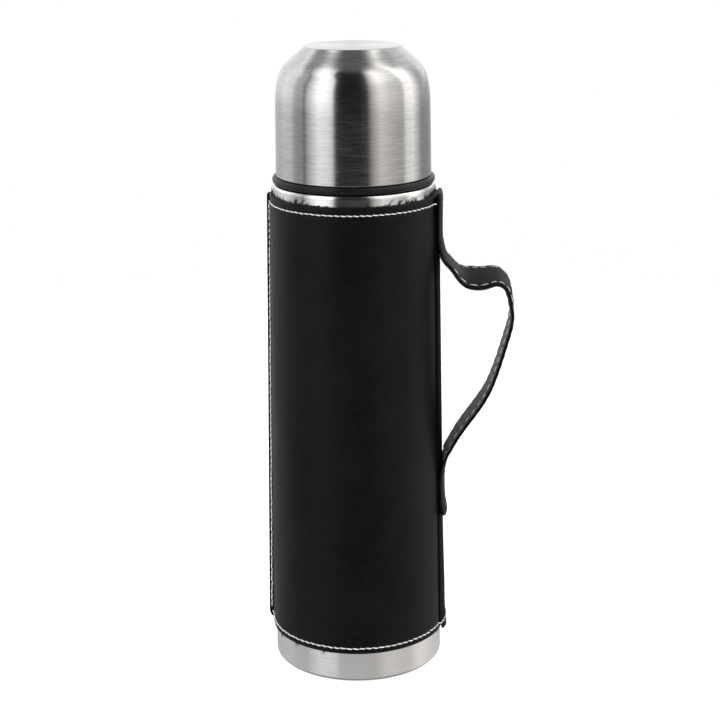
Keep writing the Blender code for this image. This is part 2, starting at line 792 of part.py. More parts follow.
def build_sleeve(pivot):
    lining = ring_outline(LINING_INNER, LINING_OUTER, SLEEVE_BOTTOM, SLEEVE_TOP)
    turned("sleeve_lining", lining, dark_fleece, pivot)
    for name, side in (("front", -1), ("back", 1)):
        panel = panel_outline(side)
        extruded(f"sleeve_{name}_panel", panel, SLEEVE_BOTTOM, SLEEVE_TOP, black_leather, pivot)
        sleeve_thread(f"top_thread_{name}", side, TOP_STITCH_Z, pivot)
        sleeve_thread(f"bottom_thread_{name}", side, BOTTOM_STITCH_Z, pivot)
    face = -(SEAM_GAP + FIN_THICKNESS + THREAD_STANDOFF + THREAD_RADIUS)
    seam_bottom = BOTTOM_STITCH_Z + SEAM_STITCH_MARGIN
    seam_top = TOP_STITCH_Z - SEAM_STITCH_MARGIN
    seam = [(SEAM_STITCH_X, face, seam_bottom), (SEAM_STITCH_X, face, seam_top)]
    wire("seam_thread", seam, THREAD_RADIUS, white_thread, pivot)

    band = wall_outline(BAND_INNER, BAND_OUTER, STRAP_WIDTH / 2)
    extruded("sleeve_side_band", band, BAND_BOTTOM, BAND_TOP, black_leather, pivot)
    end = wall_outline(STRAP_END_INNER, STRAP_END_OUTER, STRAP_WIDTH / 2)
    extruded("strap_upper_end", end, *UPPER_END, black_leather, pivot)
    extruded("strap_lower_end", end, *LOWER_END, black_leather, pivot)


# ---------------------------------------------------------------- handle


def curve_place(a, b, c, d, t):
    """Place and direction, t of the way from b to c, on a smooth curve through all four points."""
    linear = c - a
    square = 2 * a - 5 * b + 4 * c - d
    cube = 3 * b - a - 3 * c + d
    place = (2 * b + linear * t + square * t**2 + cube * t**3) / 2
    slope = linear + 2 * square * t + 3 * cube * t**2
    return place, slope.normalized()


def loop_path():
    """The strap's outer face at Y = 0 as (place, direction), smooth through the loop's points."""
    keys = [Vector((x * MM, z * MM)) for x, z in LOOP_POINTS_MM]
    keys = [2 * keys[0] - keys[1]] + keys + [2 * keys[-1] - keys[-2]]
    path = []
    for index in range(1, len(keys) - 2):
        around = keys[index - 1 : index + 3]
        for step in range(STEPS_PER_LOOP_POINT):
            path.append(curve_place(*around, step / STEPS_PER_LOOP_POINT))
    path.append(curve_place(*around, 1.0))
    return path


def loop_twist(x, along):
    """Twist of the strap about its own length: strongest on the flat top, none at the roots."""
    distance = abs(x - LOOP_TWIST_CENTRE) / LOOP_TWIST_REACH
    level = max(0.0, along.x)
    return math.radians(LOOP_TWIST_DEG) * max(0.0, 1.0 - distance**2) * level


def loop_point(place, along, depth, across):
    """A point of the strap: depth below its outer face, and across its width from Y = 0."""
    outwards = Vector((-along.y, 0.0, along.x))
    sideways = Vector((0.0, 1.0, 0.0))
    twist = loop_twist(place.x, along)
    face = outwards * math.cos(twist) - sideways * math.sin(twist)
    width = sideways * math.cos(twist) + outwards * math.sin(twist)
    return Vector((place.x, 0.0, place.y)) + width * across - face * depth


def strap_layer(name, depth, thickness, look, pivot):
    half = STRAP_WIDTH / 2
    bm = bmesh.new()
    rows = []
    for place, along in loop_path():
        rows.append([bm.verts.new(loop_point(place, along, depth, side * half)) for side in (-1, 1)])
    for (a, b), (c, d) in zip(rows, rows[1:]):
        bm.faces.new((a, c, d, b))
    mesh = bpy.data.meshes.new(name)
    bm.to_mesh(mesh)
    bm.free()
    obj = add_part(name, mesh, look, pivot)
    solidify = obj.modifiers.new("wall", "SOLIDIFY")
    solidify.thickness = thickness
    solidify.offset = -1.0
    solidify.use_even_offset = True


def build_handle(pivot):
    strap_layer("handle_strap", 0.0, LOOP_LEATHER, black_leather, pivot)
    strap_layer("handle_strap_lining", LOOP_LINING_DEPTH, LOOP_LINING, grey_lining, pivot)
    above = -(THREAD_STANDOFF + THREAD_RADIUS)
    for name, side in (("front", -1), ("back", 1)):
        line = [loop_point(place, along, above, side * STRAP_STITCH_Y) for place, along in loop_path()]
        wire(f"strap_thread_{name}", line, THREAD_RADIUS, white_thread, pivot)


# ---------------------------------------------------------------- assembly


clear_scene()
PARTS = make_collection("canteen")
CUTTERS = make_collection("cutters")
flask = make_pivot("flask", (0.0, 0.0, 0.0))
cup_lift = make_pivot("cup_lift", (0.0, 0.0, RING_BOTTOM), flask)
cup_turn = make_pivot("cup_turn", (0.0, 0.0, RING_BOTTOM), cup_lift)
stopper_lift = make_pivot("stopper_lift", (0.0, 0.0, GASKET_BOTTOM), flask)
stopper_turn = make_pivot("stopper_turn", (0.0, 0.0, GASKET_BOTTOM), stopper_lift)
button_press = make_pivot("button_press", (0.0, 0.0, BUTTON_TOP), stopper_turn)
handle_swing = make_pivot("handle_swing", HANDLE_PIVOT, flask)

build_flask(flask)
build_cup(cup_lift, cup_turn)
build_stopper(stopper_lift, stopper_turn, button_press)
build_sleeve(flask)
build_handle(handle_swing)
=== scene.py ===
import json
import math
import random

import bmesh
import bpy
import numpy as np
from mathutils import Matrix, Vector


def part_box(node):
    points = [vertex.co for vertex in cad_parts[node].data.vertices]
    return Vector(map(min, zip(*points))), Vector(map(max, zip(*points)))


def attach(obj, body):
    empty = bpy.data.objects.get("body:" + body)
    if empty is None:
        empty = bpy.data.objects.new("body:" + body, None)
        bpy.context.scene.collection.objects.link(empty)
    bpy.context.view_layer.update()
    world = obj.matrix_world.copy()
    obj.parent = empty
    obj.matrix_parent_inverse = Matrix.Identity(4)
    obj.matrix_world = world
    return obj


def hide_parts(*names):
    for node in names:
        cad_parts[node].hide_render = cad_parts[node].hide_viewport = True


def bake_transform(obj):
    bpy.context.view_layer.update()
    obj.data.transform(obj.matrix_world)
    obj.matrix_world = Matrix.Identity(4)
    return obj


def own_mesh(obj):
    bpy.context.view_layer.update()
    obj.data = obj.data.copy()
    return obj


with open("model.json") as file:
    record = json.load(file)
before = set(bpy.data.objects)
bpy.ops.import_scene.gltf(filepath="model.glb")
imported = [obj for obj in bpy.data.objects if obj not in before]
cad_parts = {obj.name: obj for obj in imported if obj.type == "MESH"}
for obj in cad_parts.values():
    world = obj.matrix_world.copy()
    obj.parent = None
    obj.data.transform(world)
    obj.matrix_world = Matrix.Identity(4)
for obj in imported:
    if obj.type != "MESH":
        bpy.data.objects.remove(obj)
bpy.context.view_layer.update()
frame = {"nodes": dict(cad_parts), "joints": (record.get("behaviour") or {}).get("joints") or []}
NODES = frame["nodes"]

MM = 0.001
TURN_STEPS = 168
SHARP_DEG = 38.0
SUPPORT_FROM = 1.5 * MM
SUPPORT_INSET = 0.12 * MM
DICE = random.Random(7)

# ---------------------------------------------------------------- sizes read from the frame

SHELL_LOW, SHELL_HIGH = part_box("outer_shell")
BODY_RADIUS = SHELL_HIGH.y
RING_LOW, RING_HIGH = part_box("cup_rim_ring")
CUP_LOW, CUP_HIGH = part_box("cup_shell")
PANEL_LOW, PANEL_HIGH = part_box("sleeve_front_panel")
LINING_LOW, LINING_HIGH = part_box("sleeve_lining")
BAND_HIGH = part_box("sleeve_side_band")[1]
COLLAR_LOW, COLLAR_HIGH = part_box("neck_collar")
VESSEL_LOW, VESSEL_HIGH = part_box("inner_vessel")
INSERT_LOW, INSERT_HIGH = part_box("cup_thread_insert")
LINER_LOW, LINER_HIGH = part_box("cup_liner")
GASKET_LOW, GASKET_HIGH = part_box("stopper_gasket")
PLUG_LOW, PLUG_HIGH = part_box("stopper_body")
CAP_LOW, CAP_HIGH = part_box("stopper_cap")
BUTTON_LOW, BUTTON_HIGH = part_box("push_button")
SPRING_LOW, SPRING_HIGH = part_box("valve_spring")
BASE_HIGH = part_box("base_cap")[1]
TOP_STITCH_Z = sum(corner.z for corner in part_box("top_thread_front")) / 2
BOTTOM_STITCH_Z = sum(corner.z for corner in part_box("bottom_thread_front")) / 2
SHOULDER_Z = RING_LOW.z - 0.3 * MM

THREAD_STARTS = 2
CUP_LEAD = 8.0 * MM
STOPPER_LEAD = 6.0 * MM
COLLAR_BORE = 26.6 * MM


def joint(name):
    return next(j for j in frame["joints"] if j["name"] == name)


HINGE = Vector(joint("handle_swing")["pos_m"])

# ---------------------------------------------------------------- node material helpers


class Tree:
    """A small builder for a node tree."""

    def __init__(self, tree):
        self.tree = tree

    def add(self, kind, **values):
        node = self.tree.nodes.new(kind)
        for key, value in values.items():
            setattr(node, key, value)
        return node

    def link(self, source, target):
        self.tree.links.new(source, target)

    def feed(self, socket, value):
        """Gives a socket a value, or another node's output."""
        if isinstance(value, bpy.types.NodeSocket):
            self.link(value, socket)
        else:
            socket.default_value = value

    def math(self, operation, a, b=0.0):
        node = self.add("ShaderNodeMath", operation=operation)
        self.feed(node.inputs[0], a)
        self.feed(node.inputs[1], b)
        return node.outputs[0]

    def mix(self, factor, a, b):
        node = self.add("ShaderNodeMix", data_type="RGBA")
        for name, value in (("Factor", factor), ("A", a), ("B", b)):
            self.feed(node.inputs[name], value)
        return node.outputs["Result"]


class Nodes(Tree):
    """A material's nodes: textures in the object's own space, and the finish they drive."""

    def __init__(self, name):
        self.material = bpy.data.materials.new(name)
        self.material.use_nodes = True
        super().__init__(self.material.node_tree)
        self.shader = self.tree.nodes["Principled BSDF"]
        self.output = self.tree.nodes["Material Output"]
        self.place = self.add("ShaderNodeTexCoord").outputs["Object"]

    def scaled(self, x, y, z):
        mapping = self.add("ShaderNodeMapping")
        mapping.inputs["Scale"].default_value = (x, y, z)
        self.link(self.place, mapping.inputs["Vector"])
        return mapping.outputs["Vector"]

    def noise(self, vector, scale=1.0, detail=2.0, roughness=0.5):
        node = self.add("ShaderNodeTexNoise")
        node.inputs["Scale"].default_value = scale
        node.inputs["Detail"].default_value = detail
        node.inputs["Roughness"].default_value = roughness
        self.link(vector, node.inputs["Vector"])
        return node.outputs["Fac"]

    def cells(self, vector, scale, feature="DISTANCE_TO_EDGE"):
        node = self.add("ShaderNodeTexVoronoi", feature=feature)
        node.inputs["Scale"].default_value = scale
        self.link(vector, node.inputs["Vector"])
        return node.outputs["Distance"]

    def remap(self, value, low, high, new_low, new_high):
        node = self.add("ShaderNodeMapRange")
        for key, number in (("From Min", low), ("From Max", high), ("To Min", new_low), ("To Max", new_high)):
            node.inputs[key].default_value = number
        self.link(value, node.inputs["Value"])
        return node.outputs["Result"]

    def blend(self, factor, a, b):
        return self.mix(factor, (*a, 1.0), (*b, 1.0))

    def bump(self, height, strength, distance, under=None):
        node = self.add("ShaderNodeBump")
        node.inputs["Strength"].default_value = strength
        node.inputs["Distance"].default_value = distance
        self.link(height, node.inputs["Height"])
        if under is not None:
            self.link(under, node.inputs["Normal"])
        return node.outputs["Normal"]

    def set(self, **inputs):
        for name, value in inputs.items():
            self.feed(self.shader.inputs[name.replace("_", " ")], value)
        return self


LOOKS = {}


def look(maker):
    """Makes each material once."""
    if maker not in LOOKS:
        LOOKS[maker] = maker()
    return LOOKS[maker]


def brushed(name, dark, light, roughness):
    """Stainless steel brushed round the body: long fine scratches, highlights stretched up and down."""
    n = Nodes(name)
    fine = n.noise(n.scaled(150.0, 150.0, 2300.0), detail=3.0, roughness=0.6)
    broad = n.noise(n.scaled(60.0, 60.0, 700.0), detail=2.0)
    marks = n.math("ADD", n.math("MULTIPLY", fine, 0.7), n.math("MULTIPLY", broad, 0.3))
    tangent = n.add("ShaderNodeTangent", direction_type="RADIAL", axis="Z")
    n.set(
        Base_Color=n.blend(n.remap(marks, 0.35, 0.65, 0.0, 1.0), dark, light),
        Metallic=1.0,
        Roughness=n.remap(marks, 0.3, 0.7, *roughness),
        Anisotropic=0.8,
        Anisotropic_Rotation=0.25,
        Tangent=tangent.outputs["Tangent"],
        Normal=n.bump(fine, 0.16, 0.008 * MM),
    )
    return n.material


def brushed_steel():
    return brushed("brushed_steel", (0.50, 0.50, 0.495), (0.62, 0.62, 0.615), (0.13, 0.21))


def painted_light_steel():
    """The flask's own wall: the cup's brushed steel with a brighter colour, which is painted light; its
    roughness is nearly the same as the cup's.
    """
    # Painted light: this colour is brighter than the cup's steel of the same finish.
    return brushed("painted_light_steel", (0.77, 0.77, 0.765), (0.84, 0.84, 0.835), (0.14, 0.20))


def spun_steel():
    """The flat steel of the base, with rings left by turning."""
    n = Nodes("spun_steel")
    split = n.add("ShaderNodeSeparateXYZ")
    n.link(n.place, split.inputs["Vector"])
    square_x = n.math("MULTIPLY", split.outputs["X"], split.outputs["X"])
    square_y = n.math("MULTIPLY", split.outputs["Y"], split.outputs["Y"])
    radius = n.math("SQRT", n.math("ADD", square_x, square_y))
    rings = n.noise(n.math("MULTIPLY", radius, 3000.0), detail=2.0)
    n.set(
        Base_Color=n.blend(rings, (0.58, 0.58, 0.575), (0.72, 0.72, 0.715)),
        Metallic=1.0,
        Roughness=n.remap(rings, 0.3, 0.7, 0.22, 0.34),
        Normal=n.bump(rings, 0.08, 0.02 * MM),
    )
    return n.material


def drawn_steel():
    """Plain inner steel, satin from drawing and electropolishing."""
    n = Nodes("drawn_steel")
    grain = n.noise(n.scaled(1.0, 1.0, 0.4), scale=900.0, detail=4.0)
    n.set(
        Base_Color=n.blend(grain, (0.50, 0.50, 0.50), (0.63, 0.63, 0.62)),
        Metallic=1.0,
        Roughness=n.remap(grain, 0.3, 0.7, 0.2, 0.34),
        Normal=n.bump(grain, 0.06, 0.03 * MM),
    )
    return n.material


LEATHER_GLINT = (0.90, 1.0, 0.98, 1.0)


def leather(name, dark, light, grain_scale, grain_depth, roughness, shine):
    """Smooth black leather: fine pebbled grain, pores, faint cloudiness in colour and shine."""
    n = Nodes(name)
    cloud = n.noise(n.place, scale=45.0, detail=3.0)
    mottle = n.noise(n.place, scale=650.0, detail=3.0, roughness=0.65)
    tone = n.math("ADD", n.math("MULTIPLY", cloud, 0.45), n.math("MULTIPLY", mottle, 0.55))
    warp = n.add("ShaderNodeVectorMath", operation="MULTIPLY_ADD")
    wobble = n.add("ShaderNodeTexNoise")
    wobble.inputs["Scale"].default_value = 500.0
    n.link(n.place, wobble.inputs["Vector"])
    n.link(wobble.outputs["Color"], warp.inputs[0])
    warp.inputs[1].default_value = (0.5 * MM,) * 3
    n.link(n.place, warp.inputs[2])
    pebbles = n.math("SMOOTH_MIN", n.cells(warp.outputs["Vector"], grain_scale), 0.28)
    pores = n.noise(n.place, scale=4200.0, detail=2.0)
    height = n.math("ADD", pebbles, n.math("MULTIPLY", pores, 0.35))
    height = n.math("ADD", height, n.math("MULTIPLY", mottle, 1.3))
    n.set(
        Base_Color=n.blend(n.remap(tone, 0.38, 0.62, 0.0, 1.0), dark, light),
        Roughness=n.remap(n.math("ADD", tone, n.math("MULTIPLY", pores, 0.5)), 0.55, 0.95, *roughness),
        Specular_IOR_Level=shine,
        Specular_Tint=LEATHER_GLINT,
        Normal=n.bump(height, 0.5, grain_depth),
    )
    return n.material


def black_leather():
    dark, light = (0.0010, 0.0018, 0.0016), (0.0042, 0.0050, 0.0048)
    return leather("black_leather", dark, light, 1500.0, 0.05 * MM, (0.38, 0.52), 0.14)


def strap_leather():
    dark, light = (0.0020, 0.0026, 0.0026), (0.0060, 0.0066, 0.0066)
    return leather("strap_leather", dark, light, 1300.0, 0.06 * MM, (0.44, 0.58), 0.13)


def shaded_band_leather():
    """The seam band is the same hide, with a darker colour and a weaker, rougher shine than the strap:
    painted shade where the band faces away from the light.
    """
    # Painted shade: a darker copy of the strap's leather.
    dark, light = (0.0020, 0.0024, 0.0024), (0.0040, 0.0044, 0.0044)
    return leather("shaded_band_leather", dark, light, 1300.0, 0.06 * MM, (0.60, 0.75), 0.07)


def fleece():
    """The brushed backing of the sleeve: matt, nearly black, with a soft nap."""
    n = Nodes("dark_fleece")
    nap = n.noise(n.place, scale=3200.0, detail=6.0, roughness=0.75)
    n.set(
        Base_Color=n.blend(nap, (0.008, 0.008, 0.008), (0.034, 0.033, 0.033)),
        Roughness=0.95,
        Sheen_Weight=0.15,
        Sheen_Roughness=0.5,
        Normal=n.bump(nap, 1.0, 0.25 * MM),
    )
    return n.material


def strap_suede():
    """The strap's inner face: grey, finely ribbed and slightly fuzzy."""
    n = Nodes("grey_suede")
    nap = n.noise(n.place, scale=2200.0, detail=6.0, roughness=0.7)
    ribs = n.noise(n.scaled(850.0, 160.0, 850.0), detail=1.0)
    mixed = n.math("ADD", n.math("MULTIPLY", nap, 0.45), n.math("MULTIPLY", ribs, 0.55))
    contrast = n.remap(mixed, 0.38, 0.62, 0.0, 1.0)
    n.set(
        Base_Color=n.blend(contrast, (0.008, 0.008, 0.008), (0.105, 0.104, 0.103)),
        Roughness=0.9,
        Sheen_Weight=0.2,
        Sheen_Roughness=0.4,
        Normal=n.bump(mixed, 0.8, 0.2 * MM),
    )
    return n.material


def thread(name, dark, light):
    """Polyester sewing thread: two plies as slanting bands of relief, and a slight shine; the darker bands in
    its colour are painted shade in the grooves between the plies.
    """
    n = Nodes(name)
    wave = n.add("ShaderNodeTexWave", wave_type="BANDS", bands_direction="DIAGONAL")
    wave.inputs["Scale"].default_value = 900.0
    wave.inputs["Distortion"].default_value = 1.5
    n.link(n.place, wave.inputs["Vector"])
    plies = wave.outputs["Fac"]
    # Painted shade: the colour is darker where the plies' grooves lie, over the same bands that the bump
    # raises.
    n.set(
        Base_Color=n.blend(plies, dark, light),
        Roughness=0.55,
        Sheen_Weight=0.3,
        Normal=n.bump(plies, 0.5, 0.08 * MM),
    )
    return n.material


def white_thread():
    return thread("white_thread", (0.62, 0.62, 0.66), (0.88, 0.88, 0.92))


def pale_thread():
    return thread("pale_thread", (0.50, 0.50, 0.53), (0.78, 0.77, 0.81))


def moulded(name, dark, light, roughness, grain=0.03, shine=0.5):
    """Moulded plastic or rubber with the fine texture of its mould."""
    n = Nodes(name)
    spark = n.noise(n.place, scale=5200.0, detail=2.0)
    flow = n.noise(n.place, scale=60.0, detail=2.0)
    n.set(
        Base_Color=n.blend(flow, dark, light),
        Roughness=n.remap(flow, 0.3, 0.7, roughness - 0.05, roughness + 0.07),
        Specular_IOR_Level=shine,
        Normal=n.bump(spark, 0.25, grain * MM),
    )
    return n.material


def black_rubber():
    return moulded("black_rubber", (0.005, 0.005, 0.006), (0.009, 0.009, 0.010), 0.36, shine=0.22)


def black_plastic():
    return moulded("black_plastic", (0.010, 0.010, 0.011), (0.016, 0.016, 0.017), 0.36)


def grey_plastic():
    return moulded("grey_plastic", (0.13, 0.13, 0.14), (0.18, 0.18, 0.19), 0.42)


def silicone():
    n = moulded("silicone", (0.62, 0.62, 0.60), (0.74, 0.74, 0.72), 0.5)
    n.node_tree.nodes["Principled BSDF"].inputs["Subsurface Weight"].default_value = 0.15
    n.node_tree.nodes["Principled BSDF"].inputs["Subsurface Scale"].default_value = 1.0 * MM
    return n


def glass_solder():
    return moulded("glass_solder", (0.20, 0.19, 0.15), (0.30, 0.29, 0.24), 0.15, 0.01)


def getter_metal():
    n = Nodes("getter_metal")
    grit = n.noise(n.place, scale=3500.0, detail=6.0, roughness=0.8)
    n.set(
        Base_Color=n.blend(grit, (0.16, 0.155, 0.15), (0.38, 0.37, 0.36)),
        Metallic=0.8,
        Roughness=0.6,
        Normal=n.bump(grit, 1.0, 0.1 * MM),
    )
    return n.material


# ---------------------------------------------------------------- mesh helpers


def skin(rings, looped=False):
    """Points and faces that join equal-sized rings one to the next, and the last to the first if looped."""
    count = len(rings[0])
    faces = []
    for level in range(len(rings) if looped else len(rings) - 1):
        low, high = level * count, ((level + 1) % len(rings)) * count
        for index in range(count):
            following = (index + 1) % count
            faces.append((low + index, low + following, high + following, high + index))
    return [point for ring in rings for point in ring], faces


class Builder:
    """Collects points and faces for one piece."""

    def __init__(self):
        self.points = []
        self.faces = []

    def add(self, points, faces):
        start = len(self.points)
        self.points.extend(points)
        self.faces.extend(tuple(start + index for index in face) for face in faces)

    def rings(self, rings):
        """Skins equal-sized closed rings of points, with a cap at both ends."""
        points, faces = skin(rings)
        count = len(rings[0])
        faces.append(tuple(range(count))[::-1])
        faces.append(tuple(range(len(points) - count, len(points))))
        self.add(points, faces)

    def tube(self, path, radii, sides=8):
        """A thin round strand along a path, whose radius may change."""
        path = [Vector(point) for point in path]
        rings = []
        guide = Vector((0.31, 0.17, 0.93))
        for index, point in enumerate(path):
            along = (path[min(index + 1, len(path) - 1)] - path[max(index - 1, 0)]).normalized()
            across = along.cross(guide).normalized()
            up = across.cross(along)
            rings.append(
                [
                    point + (across * math.cos(a) + up * math.sin(a)) * radii[index]
                    for a in (math.tau * side / sides for side in range(sides))
                ]
            )
        self.rings(rings)

    def piece(self, name, maker, body=None, nodes=(), slot=None, sharp=SHARP_DEG):
        mesh = bpy.data.meshes.new(name)
        mesh.from_pydata([tuple(point) for point in self.points], [], self.faces)
        bm = bmesh.new()
        bm.from_mesh(mesh)
        bmesh.ops.recalc_face_normals(bm, faces=bm.faces)
        bm.to_mesh(mesh)
        bm.free()
        mesh.shade_smooth()
        mesh.set_sharp_from_angle(angle=math.radians(sharp))
        mesh.materials.append(look(maker))
        obj = bpy.data.objects.new(name, mesh)
        bpy.context.scene.collection.objects.link(obj)
        if body:
            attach(obj, body)
        if nodes:
            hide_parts(*nodes)
        return obj


def filleted(outline, radius, steps=4, closed=True):
    """An outline with its corners rounded, as far as the sides' lengths allow."""
    count = len(outline)
    rounded = []
    for index, corner in enumerate(outline):
        if not closed and index in (0, count - 1):
            rounded.append(tuple(corner))
            continue
        corner = Vector(corner)
        before = Vector(outline[index - 1]) - corner
        after = Vector(outline[(index + 1) % count]) - corner
        reach = min(radius, before.length * 0.45, after.length * 0.45)
        first = corner + before.normalized() * reach
        last = corner + after.normalized() * reach
        for step in range(steps + 1):
            t = step / steps
            rounded.append(tuple(first * (1 - t) ** 2 + corner * 2 * t * (1 - t) + last * t * t))
    return rounded


def subdivided(outline, longest):
    """The same closed outline with no side longer than a limit."""
    result = []
    for index, point in enumerate(outline):
        following = outline[(index + 1) % len(outline)]
        length = math.dist(point, following)
        parts = max(1, math.ceil(length / longest))
        for part in range(parts):
            t = part / parts
            result.append(tuple(a + (b - a) * t for a, b in zip(point, following)))
    return result


def bezier(p0, p1, p2, p3, steps):
    points = []
    for step in range(steps + 1):
        t = step / steps
        weights = ((1 - t) ** 3, 3 * t * (1 - t) ** 2, 3 * t * t * (1 - t), t**3)
        corners = (p0, p1, p2, p3)
        points.append(tuple(sum(w * p[axis] for w, p in zip(weights, corners)) for axis in (0, 1)))
    return points


def offset(outline, distance):
    """An open outline moved to its right, seen along its own direction."""
    moved = []
    last = len(outline) - 1
    for index, point in enumerate(outline):
        along = Vector(outline[min(index + 1, last)]) - Vector(outline[max(index - 1, 0)])
        along.normalize()
        moved.append(tuple(Vector(point) + Vector((along.y, -along.x)) * distance))
    return moved


def supported(outline):
    """The same closed outline with two more points on each long side, so that flat walls shade flat."""
    result = []
    for index, point in enumerate(outline):
        following = outline[(index + 1) % len(outline)]
        length = math.dist(point, following)
        result.append(point)
        if length > SUPPORT_FROM:
            for share in (SUPPORT_INSET / length, 1 - SUPPORT_INSET / length):
                result.append(tuple(a + (b - a) * share for a, b in zip(point, following)))
    return result


def turned(name, outline, maker, body, nodes=(), slot=None, shape=None, steps=TURN_STEPS):
    """A closed (radius, height) outline turned about Z.

    shape(radius, height, angle) may change the radius.
    """
    builder = Builder()
    rings = []
    for radius, height in supported([(max(radius, 0.02 * MM), height) for radius, height in outline]):
        ring = []
        for step in range(steps):
            angle = math.tau * step / steps
            r = shape(radius, height, angle) if shape else radius
            ring.append((r * math.cos(angle), r * math.sin(angle), height))
        rings.append(ring)
    builder.add(*skin(rings, looped=True))
    return builder.piece(name, maker, body, nodes, slot)


def cut(obj, name, builder):
    """Takes the solids in a builder out of a piece."""
    cutter = builder.piece(name, drawn_steel)
    modifier = obj.modifiers.new("cut", "BOOLEAN")
    modifier.operation = "DIFFERENCE"
    modifier.solver = "EXACT"
    modifier.object = cutter
    bpy.context.view_layer.update()
    solid = bpy.data.meshes.new_from_object(obj.evaluated_get(bpy.context.evaluated_depsgraph_get()))
    if not solid.polygons:
        raise RuntimeError(f"cutting the {name} left nothing of {obj.name}")
    obj.modifiers.clear()
    obj.data = solid
    bpy.data.objects.remove(cutter)
    solid.shade_smooth()
    solid.set_sharp_from_angle(angle=math.radians(SHARP_DEG))


def thread_form(wall, depth, lead, first, last, middle, width):
    """A helical ridge on the wall of a turned part: depth is above 0 outwards and below 0 inwards."""
    pitch = lead / THREAD_STARTS

    def shape(radius, height, angle):
        if abs(radius - wall) > 0.01 * MM or not first <= height <= last:
            return radius
        along = (height - middle - lead * angle / math.tau) / pitch
        distance = abs(along - round(along)) * pitch
        ridge = min(1.0, max(0.0, (width / 2 - distance) / (width * 0.22)))
        fade = min(1.0, (height - first) / (0.8 * MM), (last - height) / (0.8 * MM))
        return radius + depth * ridge * max(0.0, fade)

    return shape


def smoothstep(t):
    t = min(1.0, max(0.0, t))
    return t * t * (3 - 2 * t)


# ---------------------------------------------------------------- steel body


def build_steel():
    """The visible steel: a shell with a rounded shoulder, a rolled foot and the flat base."""
    wall = 0.6 * MM
    neck = 26.3 * MM
    neck_top = SHELL_HIGH.z
    foot = SHELL_LOW.z
    outer = [
        (neck, neck_top),
        (neck, SHOULDER_Z + 1.0 * MM),
        (neck + 1.0 * MM, SHOULDER_Z),
        (BODY_RADIUS - 1.3 * MM, SHOULDER_Z),
        (BODY_RADIUS - 0.35 * MM, SHOULDER_Z - 0.35 * MM),
        (BODY_RADIUS, SHOULDER_Z - 1.3 * MM),
        (BODY_RADIUS, foot + 0.9 * MM),
        (BODY_RADIUS - 0.25 * MM, foot + 0.25 * MM),
        (BODY_RADIUS - 0.7 * MM, foot),
    ]
    inner = [
        (BODY_RADIUS - wall - 0.2 * MM, foot + 0.2 * MM),
        (BODY_RADIUS - wall, foot + 1.0 * MM),
        (BODY_RADIUS - wall, SHOULDER_Z - 1.4 * MM),
        (BODY_RADIUS - 1.5 * MM, SHOULDER_Z - wall),
        (neck + 1.0 * MM, SHOULDER_Z - wall),
        (neck - wall, SHOULDER_Z + 0.6 * MM),
        (neck - wall, neck_top),
    ]
    profile = filleted(outer + inner, 0.5 * MM)
    turned("steel_body", profile, painted_light_steel, "flask", ["outer_shell"], "brushed_steel")

    radius = BASE_HIGH.y
    base_outer = [(radius, BASE_HIGH.z), (radius, 1.2 * MM), (radius - 1.2 * MM, 0.0), (0.0, 0.0)]
    base_inner = [
        (0.0, 0.6 * MM),
        (radius - 1.4 * MM, 0.6 * MM),
        (radius - 0.6 * MM, 1.4 * MM),
        (radius - 0.6 * MM, BASE_HIGH.z),
    ]
    profile = filleted(base_outer + base_inner, 0.4 * MM)
    turned("steel_base", profile, spun_steel, "flask", ["base_cap"], "brushed_steel")


def build_neck():
    """What the lifted cup and stopper show: the steel mouth with its rolled thread, and the black collar."""
    bore = 24.5 * MM
    wall = 0.6 * MM
    lip = VESSEL_HIGH.z
    outer = [
        (26.9 * MM, lip - 0.3 * MM),
        (26.9 * MM, lip - wall),
        (bore + wall + 0.2 * MM, lip - wall),
        (bore + wall, lip - wall - 0.4 * MM),
        (bore + wall, 207.0 * MM),
    ]
    outer += bezier(
        (bore + wall, 207.0 * MM),
        (26.1 * MM, 201.0 * MM),
        (VESSEL_HIGH.y, 202.0 * MM),
        (VESSEL_HIGH.y, 196.0 * MM),
        10,
    )[1:]
    outer += bezier(
        (VESSEL_HIGH.y, 21.0 * MM),
        (VESSEL_HIGH.y, 16.5 * MM),
        (31.0 * MM, VESSEL_LOW.z),
        (26.5 * MM, VESSEL_LOW.z),
        8,
    )
    outer.append((0.0, VESSEL_LOW.z))
    inner = offset(outer[::-1], -wall)
    inner[0] = (0.0, VESSEL_LOW.z + wall)
    inner = [(min(radius, VESSEL_HIGH.y - wall), height) for radius, height in inner]
    inner = [point for point in inner if point[1] < lip - 1.2 * MM]
    inner += [(bore, lip - 1.0 * MM), (bore + 0.6 * MM, lip)]
    stopper_thread = thread_form(bore, -1.5 * MM, STOPPER_LEAD, 213.8 * MM, 222.6 * MM, 214.5 * MM, 1.3 * MM)
    rows = subdivided(outer + inner, 6.0 * MM)
    rows = finer(rows, bore, 213.0 * MM, 223.2 * MM, 0.18 * MM)
    turned("steel_vessel", rows, drawn_steel, "flask", ["inner_vessel"], "plain_steel", stopper_thread)

    core = 31.6 * MM
    collar = [
        (core, COLLAR_HIGH.z),
        (core, COLLAR_LOW.z),
        (27.8 * MM, COLLAR_LOW.z),
        (COLLAR_BORE, COLLAR_LOW.z + 1.2 * MM),
        (COLLAR_BORE, COLLAR_HIGH.z),
    ]
    profile = filleted(collar, 0.6 * MM)
    rows = finer(profile, core, COLLAR_LOW.z + 1.2 * MM, COLLAR_HIGH.z - 0.9 * MM, 0.2 * MM)
    first, last = COLLAR_LOW.z + 2.0 * MM, COLLAR_HIGH.z - 1.0 * MM
    cup_thread = thread_form(core, 1.2 * MM, CUP_LEAD, first, last, 220.6 * MM, 1.9 * MM)
    turned("neck_thread_collar", rows, black_plastic, "flask", ["neck_collar"], "black_plastic", cup_thread)


